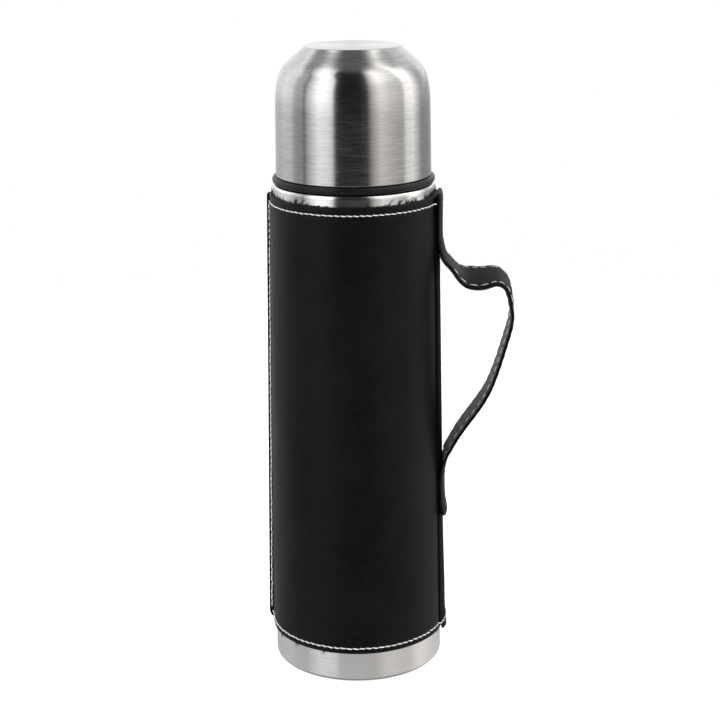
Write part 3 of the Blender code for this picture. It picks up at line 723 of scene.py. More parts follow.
def finer(outline, wall, low, high, step):
    """Adds rows to the stretch of an outline that runs along a wall, for its thread."""
    result = []
    count = len(outline)
    for index, point in enumerate(outline):
        following = outline[(index + 1) % count]
        result.append(point)
        on_wall = abs(point[0] - wall) < 0.01 * MM and abs(following[0] - wall) < 0.01 * MM
        if not on_wall:
            continue
        parts = max(1, round(abs(following[1] - point[1]) / step))
        for part in range(1, parts):
            height = point[1] + (following[1] - point[1]) * part / parts
            if low < height < high:
                result.append((wall, height))
    return result


# ---------------------------------------------------------------- cup


def build_cup():
    disc = 23.0 * MM
    straight = 250.0 * MM
    radius = CUP_HIGH.y
    top = CUP_HIGH.z
    dome = bezier(
        (disc, top - 0.25 * MM),
        (radius - 3.2 * MM, top - 10.0 * MM),
        (radius, top - 8.3 * MM),
        (radius, straight),
        40,
    )
    outer = [(0.0, top), (disc - 0.5 * MM, top), (disc - 0.15 * MM, top - 0.08 * MM)] + dome
    outer += [(radius, CUP_LOW.z + 0.3 * MM), (radius - 0.15 * MM, CUP_LOW.z)]
    inner = [(radius - 0.5 * MM, CUP_LOW.z + 0.1 * MM)]
    inner += offset(dome, 0.5 * MM)[::-1]
    inner += [(disc - 0.8 * MM, top - 0.5 * MM), (0.0, top - 0.5 * MM)]
    turned("cup_dome", outer + inner, brushed_steel, "cup", ["cup_shell"], "brushed_steel")

    liner_radius = LINER_HIGH.y
    liner_top = LINER_HIGH.z
    lined = [point for point in offset(dome, 0.8 * MM) if point[1] < liner_top - 0.5 * MM]
    outer = [(0.0, liner_top), (disc - 1.2 * MM, liner_top)] + lined + [(liner_radius, LINER_LOW.z)]
    inside = [point for point in offset(dome, 1.6 * MM) if point[1] < liner_top - 1.4 * MM]
    inner = [(liner_radius - 0.8 * MM, LINER_LOW.z)] + inside[::-1]
    inner += [(disc - 2.2 * MM, liner_top - 0.8 * MM), (0.0, liner_top - 0.8 * MM)]
    turned("cup_inner_liner", outer + inner, grey_plastic, "cup", ["cup_liner"], "grey_plastic")

    root = 33.1 * MM
    insert = [
        (liner_radius, INSERT_HIGH.z),
        (liner_radius, CUP_LOW.z),
        (34.6 * MM, CUP_LOW.z),
        (34.6 * MM, INSERT_LOW.z),
        (root, INSERT_LOW.z),
        (root, INSERT_HIGH.z),
    ]
    profile = filleted(insert, 0.4 * MM)
    rows = finer(profile, root, INSERT_LOW.z + 0.8 * MM, INSERT_HIGH.z - 0.8 * MM, 0.2 * MM)
    first, last = INSERT_LOW.z + 0.8 * MM, INSERT_HIGH.z - 2.6 * MM
    form = thread_form(root, -1.2 * MM, CUP_LEAD, first, last, 218.6 * MM, 1.9 * MM)
    turned("cup_thread", rows, black_plastic, "cup", ["cup_thread_insert"], "black_plastic", form)

    ring = RING_HIGH.y
    ring_outline = [
        (CUP_HIGH.y + 0.1 * MM, RING_HIGH.z),
        (ring - 0.5 * MM, RING_HIGH.z - 0.25 * MM),
        (ring - 0.05 * MM, RING_HIGH.z - 1.0 * MM),
        (ring, RING_HIGH.z - 1.7 * MM),
        (ring - 0.3 * MM, RING_LOW.z + 0.4 * MM),
        (ring - 0.9 * MM, RING_LOW.z),
        (34.9 * MM, RING_LOW.z),
        (34.9 * MM, RING_HIGH.z),
    ]
    profile = filleted(ring_outline, 0.5 * MM)
    turned("black_rim_ring", profile, black_rubber, "cup_ring", ["cup_rim_ring"], "black_rubber")


# ---------------------------------------------------------------- stopper

FLOW_HOLES = 6
POURING_SLOTS = 4
FLUTES = 36


def build_stopper():
    gasket = [
        (GASKET_HIGH.y, GASKET_HIGH.z),
        (GASKET_HIGH.y, GASKET_LOW.z),
        (22.9 * MM, GASKET_LOW.z),
        (22.9 * MM, GASKET_HIGH.z),
    ]
    profile = filleted(gasket, 0.8 * MM, 6)
    turned("silicone_gasket", profile, silicone, "stopper_seal", ["stopper_gasket"], "silicone")

    plug = 22.6 * MM
    inside = 20.6 * MM
    floor = PLUG_LOW.z + 1.6 * MM
    flange = PLUG_HIGH.z - 2.0 * MM
    body = [
        (PLUG_HIGH.y, PLUG_HIGH.z),
        (PLUG_HIGH.y, flange),
        (plug, flange),
        (plug, PLUG_LOW.z),
        (7.0 * MM, PLUG_LOW.z),
        (7.0 * MM, floor),
        (inside, floor),
        (inside, 222.0 * MM),
        (2.5 * MM, 222.0 * MM),
        (2.5 * MM, 223.5 * MM),
        (inside, 223.5 * MM),
        (inside, PLUG_HIGH.z),
    ]
    rows = finer(filleted(body, 0.5 * MM), plug, PLUG_LOW.z + 1.0 * MM, flange - 1.0 * MM, 0.18 * MM)
    form = thread_form(plug, 1.5 * MM, STOPPER_LEAD, 212.4 * MM, 221.0 * MM, 213.0 * MM, 1.3 * MM)
    plug_obj = turned("stopper_plug", rows, grey_plastic, "stopper", ["stopper_body"], "grey_plastic", form)
    drills = Builder()
    levels = (221.5 * MM, 224.0 * MM)
    rim = [Vector((math.cos(a), math.sin(a), 0.0)) * 3.0 * MM for a in (math.tau * n / 24 for n in range(24))]
    for index in range(FLOW_HOLES):
        angle = math.tau * index / FLOW_HOLES
        middle = Vector((13.5 * MM * math.cos(angle), 13.5 * MM * math.sin(angle), 0.0))
        drills.rings([[middle + point + Vector((0, 0, z)) for point in rim] for z in levels])
    cut(plug_obj, "drills", drills)

    def fluted(radius, height, angle):
        """Finger grips round the cap's skirt, which fade in so that its surface never folds over."""
        wave = math.cos(angle * FLUTES)
        fade = smoothstep((radius - CAP_HIGH.y + 1.2 * MM) / (1.2 * MM))
        return radius - 0.5 * MM * fade * smoothstep(0.5 - wave)

    well = 11.4 * MM
    cap = [
        (CAP_HIGH.y - 1.2 * MM, CAP_HIGH.z),
        (CAP_HIGH.y, CAP_HIGH.z - 1.2 * MM),
        (CAP_HIGH.y, CAP_LOW.z),
        (27.9 * MM, CAP_LOW.z),
        (27.9 * MM, CAP_HIGH.z - 1.3 * MM),
        (well + 1.3 * MM, CAP_HIGH.z - 1.3 * MM),
        (well + 1.3 * MM, PLUG_HIGH.z + 0.3 * MM),
        (well, PLUG_HIGH.z + 0.3 * MM),
        (well, CAP_HIGH.z),
        (well + 4.0 * MM, CAP_HIGH.z),
        (well + 4.4 * MM, CAP_HIGH.z - 0.3 * MM),
        (well + 5.2 * MM, CAP_HIGH.z - 0.3 * MM),
        (well + 5.6 * MM, CAP_HIGH.z),
    ]
    cap_obj = turned(
        "stopper_grip_cap",
        filleted(cap, 0.6 * MM),
        black_plastic,
        "stopper",
        ["stopper_cap"],
        "black_plastic",
        fluted,
        FLUTES * 8,
    )
    slots = Builder()
    for index in range(POURING_SLOTS):
        turn = Matrix.Rotation(math.tau * (index + 0.5) / POURING_SLOTS, 3, "Z")
        section = [(24.0, -3.5), (31.0, -3.5), (31.0, 3.5), (24.0, 3.5)]
        levels = (CAP_LOW.z - 1.0 * MM, 237.0 * MM)
        slots.rings([[turn @ Vector((x * MM, y * MM, z)) for x, y in section] for z in levels])
    cut(cap_obj, "slots", slots)

    button = BUTTON_HIGH.y
    shell = [
        (0.0, BUTTON_HIGH.z - 0.5 * MM),
        (button * 0.45, BUTTON_HIGH.z - 0.38 * MM),
        (button * 0.78, BUTTON_HIGH.z),
        (button - 1.0 * MM, BUTTON_HIGH.z),
        (button, BUTTON_HIGH.z - 1.0 * MM),
        (button, BUTTON_LOW.z),
        (button - 1.3 * MM, BUTTON_LOW.z),
        (button - 1.3 * MM, BUTTON_HIGH.z - 1.5 * MM),
        (0.0, BUTTON_HIGH.z - 1.5 * MM),
    ]
    profile = filleted(shell, 0.5 * MM)
    turned("stopper_button", profile, grey_plastic, "button", ["push_button"], "grey_plastic")

    coil = Builder()
    wire = 0.45 * MM
    radius = SPRING_HIGH.y - wire
    bottom = SPRING_LOW.z + wire
    top = SPRING_HIGH.z - wire
    turns = 5
    steps = turns * 28
    path = []
    for step in range(steps + 1):
        angle = math.tau * turns * step / steps
        level = smoothstep((step / steps - 0.06) / 0.88) * 0.35 + (step / steps) * 0.65
        path.append((radius * math.cos(angle), radius * math.sin(angle), bottom + (top - bottom) * level))
    coil.tube(path, [wire] * len(path), 10)
    spring = coil.piece("steel_spring", drawn_steel, "stopper", ["valve_spring"], "plain_steel")
    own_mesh(spring)


# ---------------------------------------------------------------- leather sleeve

SLEEVE_RADIUS = 39.3 * MM
SLEEVE_INNER = 38.6 * MM
SLEEVE_FINE = 0.5 * MM
FIN_FACE = 1.05 * MM
FIN_GAP = 0.12 * MM
FIN_TOP_TIP = -40.95 * MM
FIN_BOTTOM_TIP = -41.7 * MM
FIN_LEAVE_DEG = 167.5
FIN_ROOT = -40.0 * MM
SEAM_INSET = 1.3 * MM
SEAM_END_Z = 17.4 * MM
BAND_HALF = 10.5 * MM
BAND_OUTER = 40.05 * MM


def ripple(angle, height):
    """Slow unevenness of the stretched leather."""
    return 0.10 * MM * (
        math.sin(3.0 * angle + 38.0 * height)
        + 0.7 * math.sin(5.0 * angle - 61.0 * height + 1.3)
        + 0.5 * math.sin(2.0 * angle + 120.0 * height + 0.4)
    )


def seam_pull(height):
    """How far the leather sinks under a row of stitches, and stands proud beside it."""
    depth = 0.0
    for row in (TOP_STITCH_Z, BOTTOM_STITCH_Z):
        distance = (height - row) / (0.75 * MM)
        depth -= 0.22 * MM * math.exp(-distance * distance)
        above, below = math.exp(-((distance - 2.4) ** 2)), math.exp(-((distance + 2.4) ** 2))
        depth += 0.10 * MM * above + 0.10 * MM * below
    return depth


def sleeve_radius(angle, height):
    """Outer face of the leather; angle is measured from +X."""
    calm = smoothstep((abs(math.sin(angle)) - 0.15) / 0.3)
    return SLEEVE_RADIUS + ripple(angle, height) * calm + seam_pull(height)


def fin_tip(height):
    t = (height - PANEL_LOW.z) / (PANEL_HIGH.z - PANEL_LOW.z)
    return FIN_BOTTOM_TIP + (FIN_TOP_TIP - FIN_BOTTOM_TIP) * t


def fin_reach(height):
    """How far the side fin stands out at a height: its two ends are rounded off."""
    full = abs(fin_tip(height))
    for distance, corner, sink in (
        (PANEL_HIGH.z - height, 1.5 * MM, 1.2 * MM),
        (height - PANEL_LOW.z, 3.4 * MM, 2.0 * MM),
    ):
        if distance < corner:
            full -= sink * (1 - math.sqrt(max(0.0, 1 - (1 - distance / corner) ** 2)))
    return full


def panel_face(height, inset=0.0):
    """The outer face of the front panel as (x, -y) points, from the band round to the fin's tip."""
    start, stop = math.radians(0.3), math.radians(FIN_LEAVE_DEG)
    face = []
    for step in range(121):
        angle = start + (stop - start) * step / 120
        radius = sleeve_radius(angle, height) - inset
        face.append((radius * math.cos(angle), radius * math.sin(angle)))
    corner = face[-1]
    flank = FIN_FACE - inset + 0.6 * seam_pull(height)
    tip = -fin_reach(height) + inset
    root = max(FIN_ROOT, tip + 0.6 * MM)
    reach = 3.4 * MM
    leave = (corner[0] - reach * math.sin(stop), corner[1] + reach * math.cos(stop))
    face += bezier(corner, leave, (root + 0.55 * MM, flank + 0.1 * MM), (root, flank), 12)[1:]
    face += [(root + (tip - root) * t, flank) for t in (0.35, 0.65, 0.85)]
    face += [(tip + 0.05 * MM, flank * 0.75), (tip, FIN_GAP)]
    return face


def panel_section(side, height, inset=0.0):
    """One closed section of a sleeve panel at a height; inset shrinks its outer face for a rounded edge."""
    outer = panel_face(height, inset)
    first, last = math.radians(0.3), math.radians(179.8)
    inner = []
    for step in range(len(outer)):
        angle = last + (first - last) * step / (len(outer) - 1)
        inner.append((SLEEVE_INNER * math.cos(angle), SLEEVE_INNER * math.sin(angle)))
    return [(x, side * y, height) for x, y in outer + inner]


def sleeve_levels():
    """Heights of the sleeve's sections: close together at the stitches and the edges."""
    low, high = PANEL_LOW.z, PANEL_HIGH.z
    levels = {low, high, low + 0.12 * MM, low + 0.35 * MM, high - 0.12 * MM, high - 0.35 * MM}
    edge = 6.0 * MM
    step = SLEEVE_FINE
    levels.update(low + 0.6 * MM + step * n for n in range(int(edge / step)))
    levels.update(high - 0.6 * MM - step * n for n in range(int(edge / step)))
    count = 90
    levels.update(low + edge + (high - low - 2 * edge) * n / count for n in range(1, count))
    return sorted(levels)


def build_panel(name, side, node):
    builder = Builder()
    rings = []
    for height in sleeve_levels():
        edge = min(height - PANEL_LOW.z, PANEL_HIGH.z - height)
        round_edge = 0.35 * MM
        inset = round_edge - math.sqrt(max(0.0, round_edge**2 - max(0.0, round_edge - edge) ** 2))
        rings.append(panel_section(side, height, inset))
    builder.rings(rings)
    return builder.piece(name, black_leather, "flask", [node], "black_leather", 50.0)


def build_lining():
    """The fleece behind the leather, with a ragged top edge and loose fibres at both ends."""
    builder = Builder()
    inner, outer = 38.15 * MM, 38.5 * MM
    count = 360
    low, high = LINING_LOW.z, LINING_HIGH.z
    ragged = [0.0] * count
    for _ in range(90):
        middle, spread = DICE.uniform(0, count), DICE.uniform(0.8, 2.6)
        tall = DICE.uniform(0.05, 0.35) * MM
        for index in range(count):
            distance = min(abs(index - middle), count - abs(index - middle)) / spread
            ragged[index] += tall * math.exp(-distance * distance)
    rings = []
    for radius, height, rough in (
        (inner, low, 0.0),
        (outer, low, 0.0),
        (outer, high - 1.0 * MM, 0.0),
        (outer - 0.03 * MM, high, 0.7),
        (outer - 0.15 * MM, high, 1.0),
        (inner + 0.03 * MM, high, 0.8),
        (inner, high - 1.0 * MM, 0.0),
    ):
        ring = []
        for index in range(count):
            angle = math.tau * index / count
            z = height + rough * min(ragged[index], 1.1 * MM)
            ring.append((radius * math.cos(angle), radius * math.sin(angle), z))
        rings.append(ring)
    builder.add(*skin(rings, looped=True))
    builder.piece("sleeve_fleece", fleece, "flask", ["sleeve_lining"], "dark_fleece")

    fibres = Builder()
    for edge, direction, tufts, loose in ((high, 1, 62, 620), (PANEL_LOW.z, -1, 20, 110)):
        for _ in range(tufts):
            middle = DICE.uniform(0, math.tau)
            lean = DICE.uniform(-0.9, 0.9)
            tall = DICE.uniform(0.8, 3.2) * MM
            for _ in range(DICE.randint(4, 12)):
                angle = middle + DICE.gauss(0, 0.4) * MM / outer
                length = tall * DICE.uniform(0.4, 1.0)
                add_fibre(fibres, outer, edge, direction, angle, length, lean + DICE.gauss(0, 0.25))
        for _ in range(loose):
            angle = DICE.uniform(0, math.tau)
            add_fibre(fibres, outer, edge, direction, angle, DICE.uniform(0.2, 0.8) * MM, DICE.gauss(0, 0.6))
    for _ in range(34):
        angle = DICE.uniform(0, math.tau)
        for _ in range(DICE.randint(3, 6)):
            spread = DICE.gauss(0, 0.3) * MM / outer
            length = DICE.uniform(2.0, 3.8) * MM
            add_fibre(fibres, outer, high, 1, angle + spread, length, DICE.gauss(0.6, 0.3))
    fibres.piece("fleece_fibres", fleece, "flask", (), "dark_fleece")


def add_fibre(builder, radius, edge, direction, angle, length, lean):
    """One fibre standing out of the fleece's edge and bending over."""
    strand = []
    root = 0.5 * MM
    for step in range(5):
        t = step / 4
        turn = angle + lean * length * (0.3 * t + 0.7 * t * t) / radius
        out = radius - 0.15 * MM + 0.3 * MM * t * t
        height = edge + direction * ((length + root) * t * (1 - 0.2 * t * abs(lean)) - root)
        strand.append((out * math.cos(turn), out * math.sin(turn), height))
    thick = DICE.uniform(0.05, 0.12) * MM
    builder.tube(strand, [thick, thick, thick * 0.85, thick * 0.6, thick * 0.15], 5)


def band_swell(height):
    """The band stands a little off the sleeve lower down, and its tail curls outwards."""
    stand_off = 0.4 * MM * smoothstep((60.0 * MM - height) / (35.0 * MM))
    tail = 0.6 * MM * smoothstep((21.0 * MM - height) / (9.0 * MM))
    return stand_off + tail


def build_side_band():
    """The strip over the right-hand seam. Its tongue end hangs a little below the sleeve."""
    builder = Builder()
    inner = 39.4 * MM
    low, high = 10.6 * MM, BAND_HIGH.z
    corner = 6.0 * MM
    across = 26
    rings = []
    levels = [low + 0.05 * MM] + [low + corner * (1 - math.cos(math.pi / 2 * n / 10)) for n in range(1, 11)]
    levels += [low + corner + (high - low - corner) * n / 80 for n in range(1, 81)]
    for height in levels:
        half = BAND_HALF
        if height < low + corner:
            half = BAND_HALF - corner + math.sqrt(corner**2 - (low + corner - height) ** 2)
        swell = band_swell(height)
        section = []
        for step in range(across + 1):
            u = -1 + 2 * step / across
            turn = math.asin(half / BAND_OUTER) * u
            radius = BAND_OUTER + swell * (1 - 0.85 * u * u) - 0.25 * MM * abs(u) ** 14
            section.append((radius * math.cos(turn), radius * math.sin(turn), height))
        lift = max(0.0, swell - 0.4 * MM)
        for step in range(across + 1):
            u = 1 - 2 * step / across
            turn = math.asin(half / BAND_OUTER) * u * 0.998
            section.append(((inner + lift) * math.cos(turn), (inner + lift) * math.sin(turn), height))
        rings.append(section)
    builder.rings(rings)
    builder.piece("leather_side_band", shaded_band_leather, "flask", ["sleeve_side_band"], "black_leather", 50.0)


# ---------------------------------------------------------------- stitching

STITCH_PITCH = 2.9 * MM
THREAD_RADIUS = 0.27 * MM


def add_stitch(builder, spot, start, end, lift, radius, sides=8):
    """One stitch: it comes up out of a hole, lies on the leather and goes down again."""
    path, radii = [], []
    steps = 8
    for step in range(steps + 1):
        t = step / steps
        rise = math.sin(math.pi * t) ** 0.55 * lift - (0.35 * MM if step in (0, steps) else 0.0)
        path.append(spot(start + (end - start) * t, rise, t))
        radii.append(radius * (0.62 + 0.38 * math.sin(math.pi * t) ** 0.7))
    builder.tube(path, radii, sides)


def ring_stitches(builder, height, side, start_deg, stop):
    """A row of stitches round the sleeve on one side of Y, from an angle to an X near the fin."""
    face = [point for point in panel_face(height) if point[0] > stop]
    lengths = [0.0]
    for before, after in zip(face, face[1:]):
        lengths.append(lengths[-1] + math.dist(before, after))
    first = math.radians(start_deg) * SLEEVE_RADIUS
    count = round((lengths[-1] - first) / STITCH_PITCH)
    pitch = (lengths[-1] - first) / count
    xs = [point[0] for point in face]
    ys = [point[1] for point in face]
    band_edge = math.asin(BAND_HALF / BAND_OUTER) * SLEEVE_RADIUS
    for index in range(count):
        jitter = DICE.uniform(-0.08, 0.08) * MM
        slant = DICE.uniform(0.10, 0.24) * MM
        share = DICE.uniform(0.93, 1.0)

        def spot(along, rise, t, jitter=jitter, slant=slant):
            place = Vector((np.interp(along, lengths, xs), np.interp(along, lengths, ys)))
            ahead = Vector((np.interp(along + MM, lengths, xs), np.interp(along + MM, lengths, ys)))
            behind = Vector((np.interp(along - MM, lengths, xs), np.interp(along - MM, lengths, ys)))
            direction = (ahead - behind).normalized()
            step_up = smoothstep((band_edge + 0.7 * MM - along) / (1.2 * MM))
            swell = band_swell(height) * (1 - 0.85 * min(1.0, along / band_edge) ** 2)
            over_band = step_up * (BAND_OUTER + swell - SLEEVE_RADIUS + 0.1 * MM)
            place += Vector((direction.y, -direction.x)) * (rise + over_band)
            return (place.x, side * place.y, height + jitter + slant * (t - 0.5) * 2)

        begin = first + index * pitch
        add_stitch(builder, spot, begin, begin + pitch * share, 0.22 * MM, THREAD_RADIUS)


def build_sleeve_stitches():
    for label, height, start, stop in (
        ("top", TOP_STITCH_Z, 13.6, -39.5 * MM),
        ("bottom", BOTTOM_STITCH_Z, 0.0, -40.9 * MM),
    ):
        builder = Builder()
        for side in (-1, 1):
            ring_stitches(builder, height, side, start, stop)
        nodes = [f"{label}_thread_front", f"{label}_thread_back"]
        builder.piece(f"{label}_stitching", white_thread, "flask", nodes, "white_thread")

    seam = Builder()
    low, high = SEAM_END_Z, TOP_STITCH_Z - 1.0 * MM
    count = round((high - low) / STITCH_PITCH)
    pitch = (high - low) / count
    for side in (-1, 1):
        for index in range(count):
            jitter = DICE.uniform(-0.10, 0.10) * MM
            slant = DICE.uniform(0.06, 0.22) * MM

            def spot(along, rise, t, jitter=jitter, slant=slant):
                z = low + along
                x = fin_tip(z) + SEAM_INSET + jitter + slant * (t - 0.5) * 2
                return (x, side * (FIN_FACE + rise), z)

            add_stitch(seam, spot, index * pitch, (index + 1.1) * pitch, 0.22 * MM, 0.31 * MM)
    seam.piece("seam_stitching", white_thread, "flask", ["seam_thread"], "white_thread")


# ---------------------------------------------------------------- strap handle

STRAP_HALF = 10.5 * MM
STRAP_LEATHER = 1.2 * MM
STRAP_PACKING = 0.65 * MM
STRAP_SUEDE_TOP = 1.3 * MM
STRAP_SUEDE = 0.8 * MM
STRAP_ROW = 8.4 * MM
STRAP_PITCH = 4.6 * MM
STRAP_DASH = 3.3 * MM
SUEDE_FROM_X = 42.4 * MM
STITCH_X = 43.6 * MM
NEAR_STITCH_X = 46.8 * MM
STRAP_SHELF_Z = 150.0 * MM
STRAP_KEYS_MM = (
    (41.2, 212.6), (41.65, 210.3), (41.6, 207.0), (41.45, 200.0), (41.4, 192.0),
    (42.1, 187.0), (43.5, 182.4), (46.8, 177.8), (49.8, 174.7), (53.5, 172.9),
    (59.0, 172.4), (66.2, 173.5), (71.6, 169.9), (73.8, 161.0), (73.8, 152.5),
    (70.6, 141.5), (66.0, 128.0), (60.5, 116.5), (48.7, 100.5), (44.2, 92.4),
    (42.0, 86.5), (41.0, 80.0), (41.0, 73.0), (41.2, 69.0), (42.1, 63.7),
)


def strap_stations():
    """The strap's outer face at Y = 0, one station a millimetre: (place, direction, distance along)."""
    keys = [Vector((x * MM, z * MM)) for x, z in STRAP_KEYS_MM]
    keys = [2 * keys[0] - keys[1]] + keys + [2 * keys[-1] - keys[-2]]
    dense = []
    for index in range(1, len(keys) - 2):
        a, b, c, d = keys[index - 1 : index + 3]
        for step in range(24):
            t = step / 24
            square = (2 * a - 5 * b + 4 * c - d) * t**2
            cube = (3 * b - a - 3 * c + d) * t**3
            dense.append(0.5 * (2 * b + (c - a) * t + square + cube))
    dense.append(keys[-2])
    for _ in range(12):
        dense = [dense[0]] + [
            (before + 2 * point + after) / 4 for before, point, after in zip(dense, dense[1:], dense[2:])
        ] + [dense[-1]]
    lengths = np.concatenate([[0.0], np.cumsum([(b - a).length for a, b in zip(dense, dense[1:])])])
    xs, zs = np.array([p.x for p in dense]), np.array([p.y for p in dense])
    total = lengths[-1]
    marks = np.linspace(0.0, total, int(total / (1.0 * MM)) + 1)
    x, z = np.interp(marks, lengths, xs), np.interp(marks, lengths, zs)
    dx, dz = np.gradient(x), np.gradient(z)
    return marks, x, z, dx, dz


MARKS, PATH_X, PATH_Z, PATH_DX, PATH_DZ = strap_stations()
STRAP_LENGTH = float(MARKS[-1])
STRAP_TACKS = (5.0 * MM, 21.0 * MM, STRAP_LENGTH - 12.0 * MM, STRAP_LENGTH - 4.0 * MM)
STRAP_TACK_PITCH = 2.9 * MM


def strap_point(distance, across, depth):
    """A point of the strap: distance along it, across its width, and depth below its outer face."""
    x, z = np.interp(distance, MARKS, PATH_X), np.interp(distance, MARKS, PATH_Z)
    along = Vector((np.interp(distance, MARKS, PATH_DX), np.interp(distance, MARKS, PATH_DZ))).normalized()
    outwards = Vector((-along.y, 0.0, along.x))
    sideways = Vector((0.0, 1.0, 0.0))
    shelf = smoothstep((x - 46.0 * MM) / (9.0 * MM)) * smoothstep((80.0 * MM - x) / (22.0 * MM))
    twist = math.radians(15.0) * shelf * math.sqrt(max(0.0, along.x))
    face = outwards * math.cos(twist) - sideways * math.sin(twist)
    width = sideways * math.cos(twist) + outwards * math.sin(twist)
    sewn = 1.0 - smoothstep((x - 42.2 * MM) / (4.0 * MM))
    drop = 0.9 * MM * (across / STRAP_HALF) ** 2 * sewn
    return Vector((x, 0.0, z)) + width * across - face * (depth + drop)


def sewn_share(distance):
    """1 where the strap is sewn down, falling to 0 where it has left the band."""
    x = float(np.interp(distance, MARKS, PATH_X))
    return 1.0 - smoothstep((x - 42.0 * MM) / (1.2 * MM))


def strap_half_width(distance):
    """Half the strap's width: its two ends have rounded corners."""
    corner = 3.5 * MM
    edge = min(distance, STRAP_LENGTH - distance)
    if edge >= corner:
        return STRAP_HALF
    return STRAP_HALF - corner + math.sqrt(max(0.0, corner**2 - (corner - edge) ** 2))


def strap_layer(name, maker, top, thickness, slot_name, nodes, crown, first=0.0, last=STRAP_LENGTH):
    """One layer of the strap with rolled edges, and a dip under each row of stitches."""
    builder = Builder()
    across = 40
    rings = []
    ends = (0.0, 0.1 * MM, 0.3 * MM, 0.6 * MM)
    steps = int((last - first) / (1.2 * MM))
    distances = [first + gap for gap in ends]
    distances += [first + (last - first) * n / steps for n in range(1, steps)]
    distances += [last - gap for gap in ends[::-1]]
    for distance in distances:
        half = strap_half_width(distance) - 0.15 * MM * (top > 0)
        edge = min(distance - first, last - distance)
        end = math.sqrt(max(0.04, 1 - (1 - min(1.0, edge / (0.6 * MM))) ** 2))
        upper, lower = [], []
        for step in range(across + 1):
            u = -1 + 2 * step / across
            u = math.copysign(1 - (1 - abs(u)) ** 1.7, u)
            y = u * half
            plump = (max(0.0, 1 - abs(u) ** 10)) ** 0.35
            dip = 0.16 * MM * math.exp(-(((abs(y) - STRAP_ROW) / (0.7 * MM)) ** 2))
            swell = crown * (1 - min(1.0, abs(y) / STRAP_ROW) ** 2)
            packed = STRAP_PACKING * sewn_share(distance) * (top == 0)
            middle = top + (thickness + packed) / 2
            rise = (thickness + packed) / 2 * plump * end
            upper.append(strap_point(distance, y, middle - rise + (dip - swell) * plump * (top == 0)))
            lower.append(strap_point(distance, y, middle + rise - (dip - swell) * plump * (top > 0)))
        rings.append(upper + lower[::-1][1:-1])
    builder.rings(rings)
    obj = builder.piece(name, maker, None, nodes, slot_name, 50.0)
    return cross_hinge(obj)


def cross_hinge(obj):
    """Bakes the strap piece's placement into its mesh."""
    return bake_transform(obj)


def build_strap():
    strap_layer(
        "strap_leather",
        strap_leather,
        0.0,
        STRAP_LEATHER,
        "black_leather",
        ["handle_strap", "strap_upper_end", "strap_lower_end"],
        0.12 * MM,
    )
    free = [float(mark) for mark, x in zip(MARKS, PATH_X) if x > SUEDE_FROM_X]
    strap_layer(
        "strap_suede",
        strap_suede,
        STRAP_SUEDE_TOP,
        STRAP_SUEDE,
        "grey_lining",
        ["handle_strap_lining"],
        0.0,
        free[0],
        free[-1],
    )

    builder = Builder()
    first, last = 4.0 * MM, STRAP_LENGTH - 3.5 * MM
    count = int((last - first) / STRAP_PITCH)
    for side in (-1, 1):
        for inside in (False, True):
            shift = STRAP_PITCH / 2 if inside else 0.0
            for index in range(count):
                begin = first + index * STRAP_PITCH + shift
                height = float(np.interp(begin, MARKS, PATH_Z))
                start = NEAR_STITCH_X if side < 0 and height > STRAP_SHELF_Z else STITCH_X
                if float(np.interp(begin, MARKS, PATH_X)) < start:
                    continue
                jitter = DICE.uniform(-0.12, 0.12) * MM
                slant = DICE.uniform(-0.16, 0.16) * MM

                def spot(along, rise, t, jitter=jitter, slant=slant, inside=inside, side=side):
                    y = side * STRAP_ROW + jitter + slant * (t - 0.5) * 2
                    depth = STRAP_SUEDE_TOP + STRAP_SUEDE - 0.1 * MM + rise if inside else 0.12 * MM - rise
                    return strap_point(along, y, depth)

                add_stitch(builder, spot, begin, begin + STRAP_DASH, 0.12 * MM, 0.25 * MM)
    for mark in STRAP_TACKS:
        for index in range(4):

            def across(along, rise, t, mark=mark):
                return strap_point(mark + DICE.uniform(-0.05, 0.05) * MM, along, 0.2 * MM - rise)

            begin = (index - 2) * STRAP_TACK_PITCH
            add_stitch(builder, across, begin, begin + STRAP_TACK_PITCH * 0.86, 0.12 * MM, 0.22 * MM)
    obj = builder.piece(
        "strap_stitching", pale_thread, None, ["strap_thread_front", "strap_thread_back"], "white_thread"
    )
    cross_hinge(obj)


# ---------------------------------------------------------------- CAD nodes that stay


def dress_cad_nodes():
    """Hidden inner parts keep their CAD shape and get finished materials."""
    for node, maker in (
        ("jacket_bottom", drawn_steel),
        ("seal_bead", glass_solder),
        ("getter", getter_metal),
        ("valve_stem", grey_plastic),
        ("valve_disc", grey_plastic),
        ("valve_seal", silicone),
    ):
        obj = NODES[node]
        obj.data.materials.clear()
        obj.data.materials.append(look(maker))


# ---------------------------------------------------------------- studio

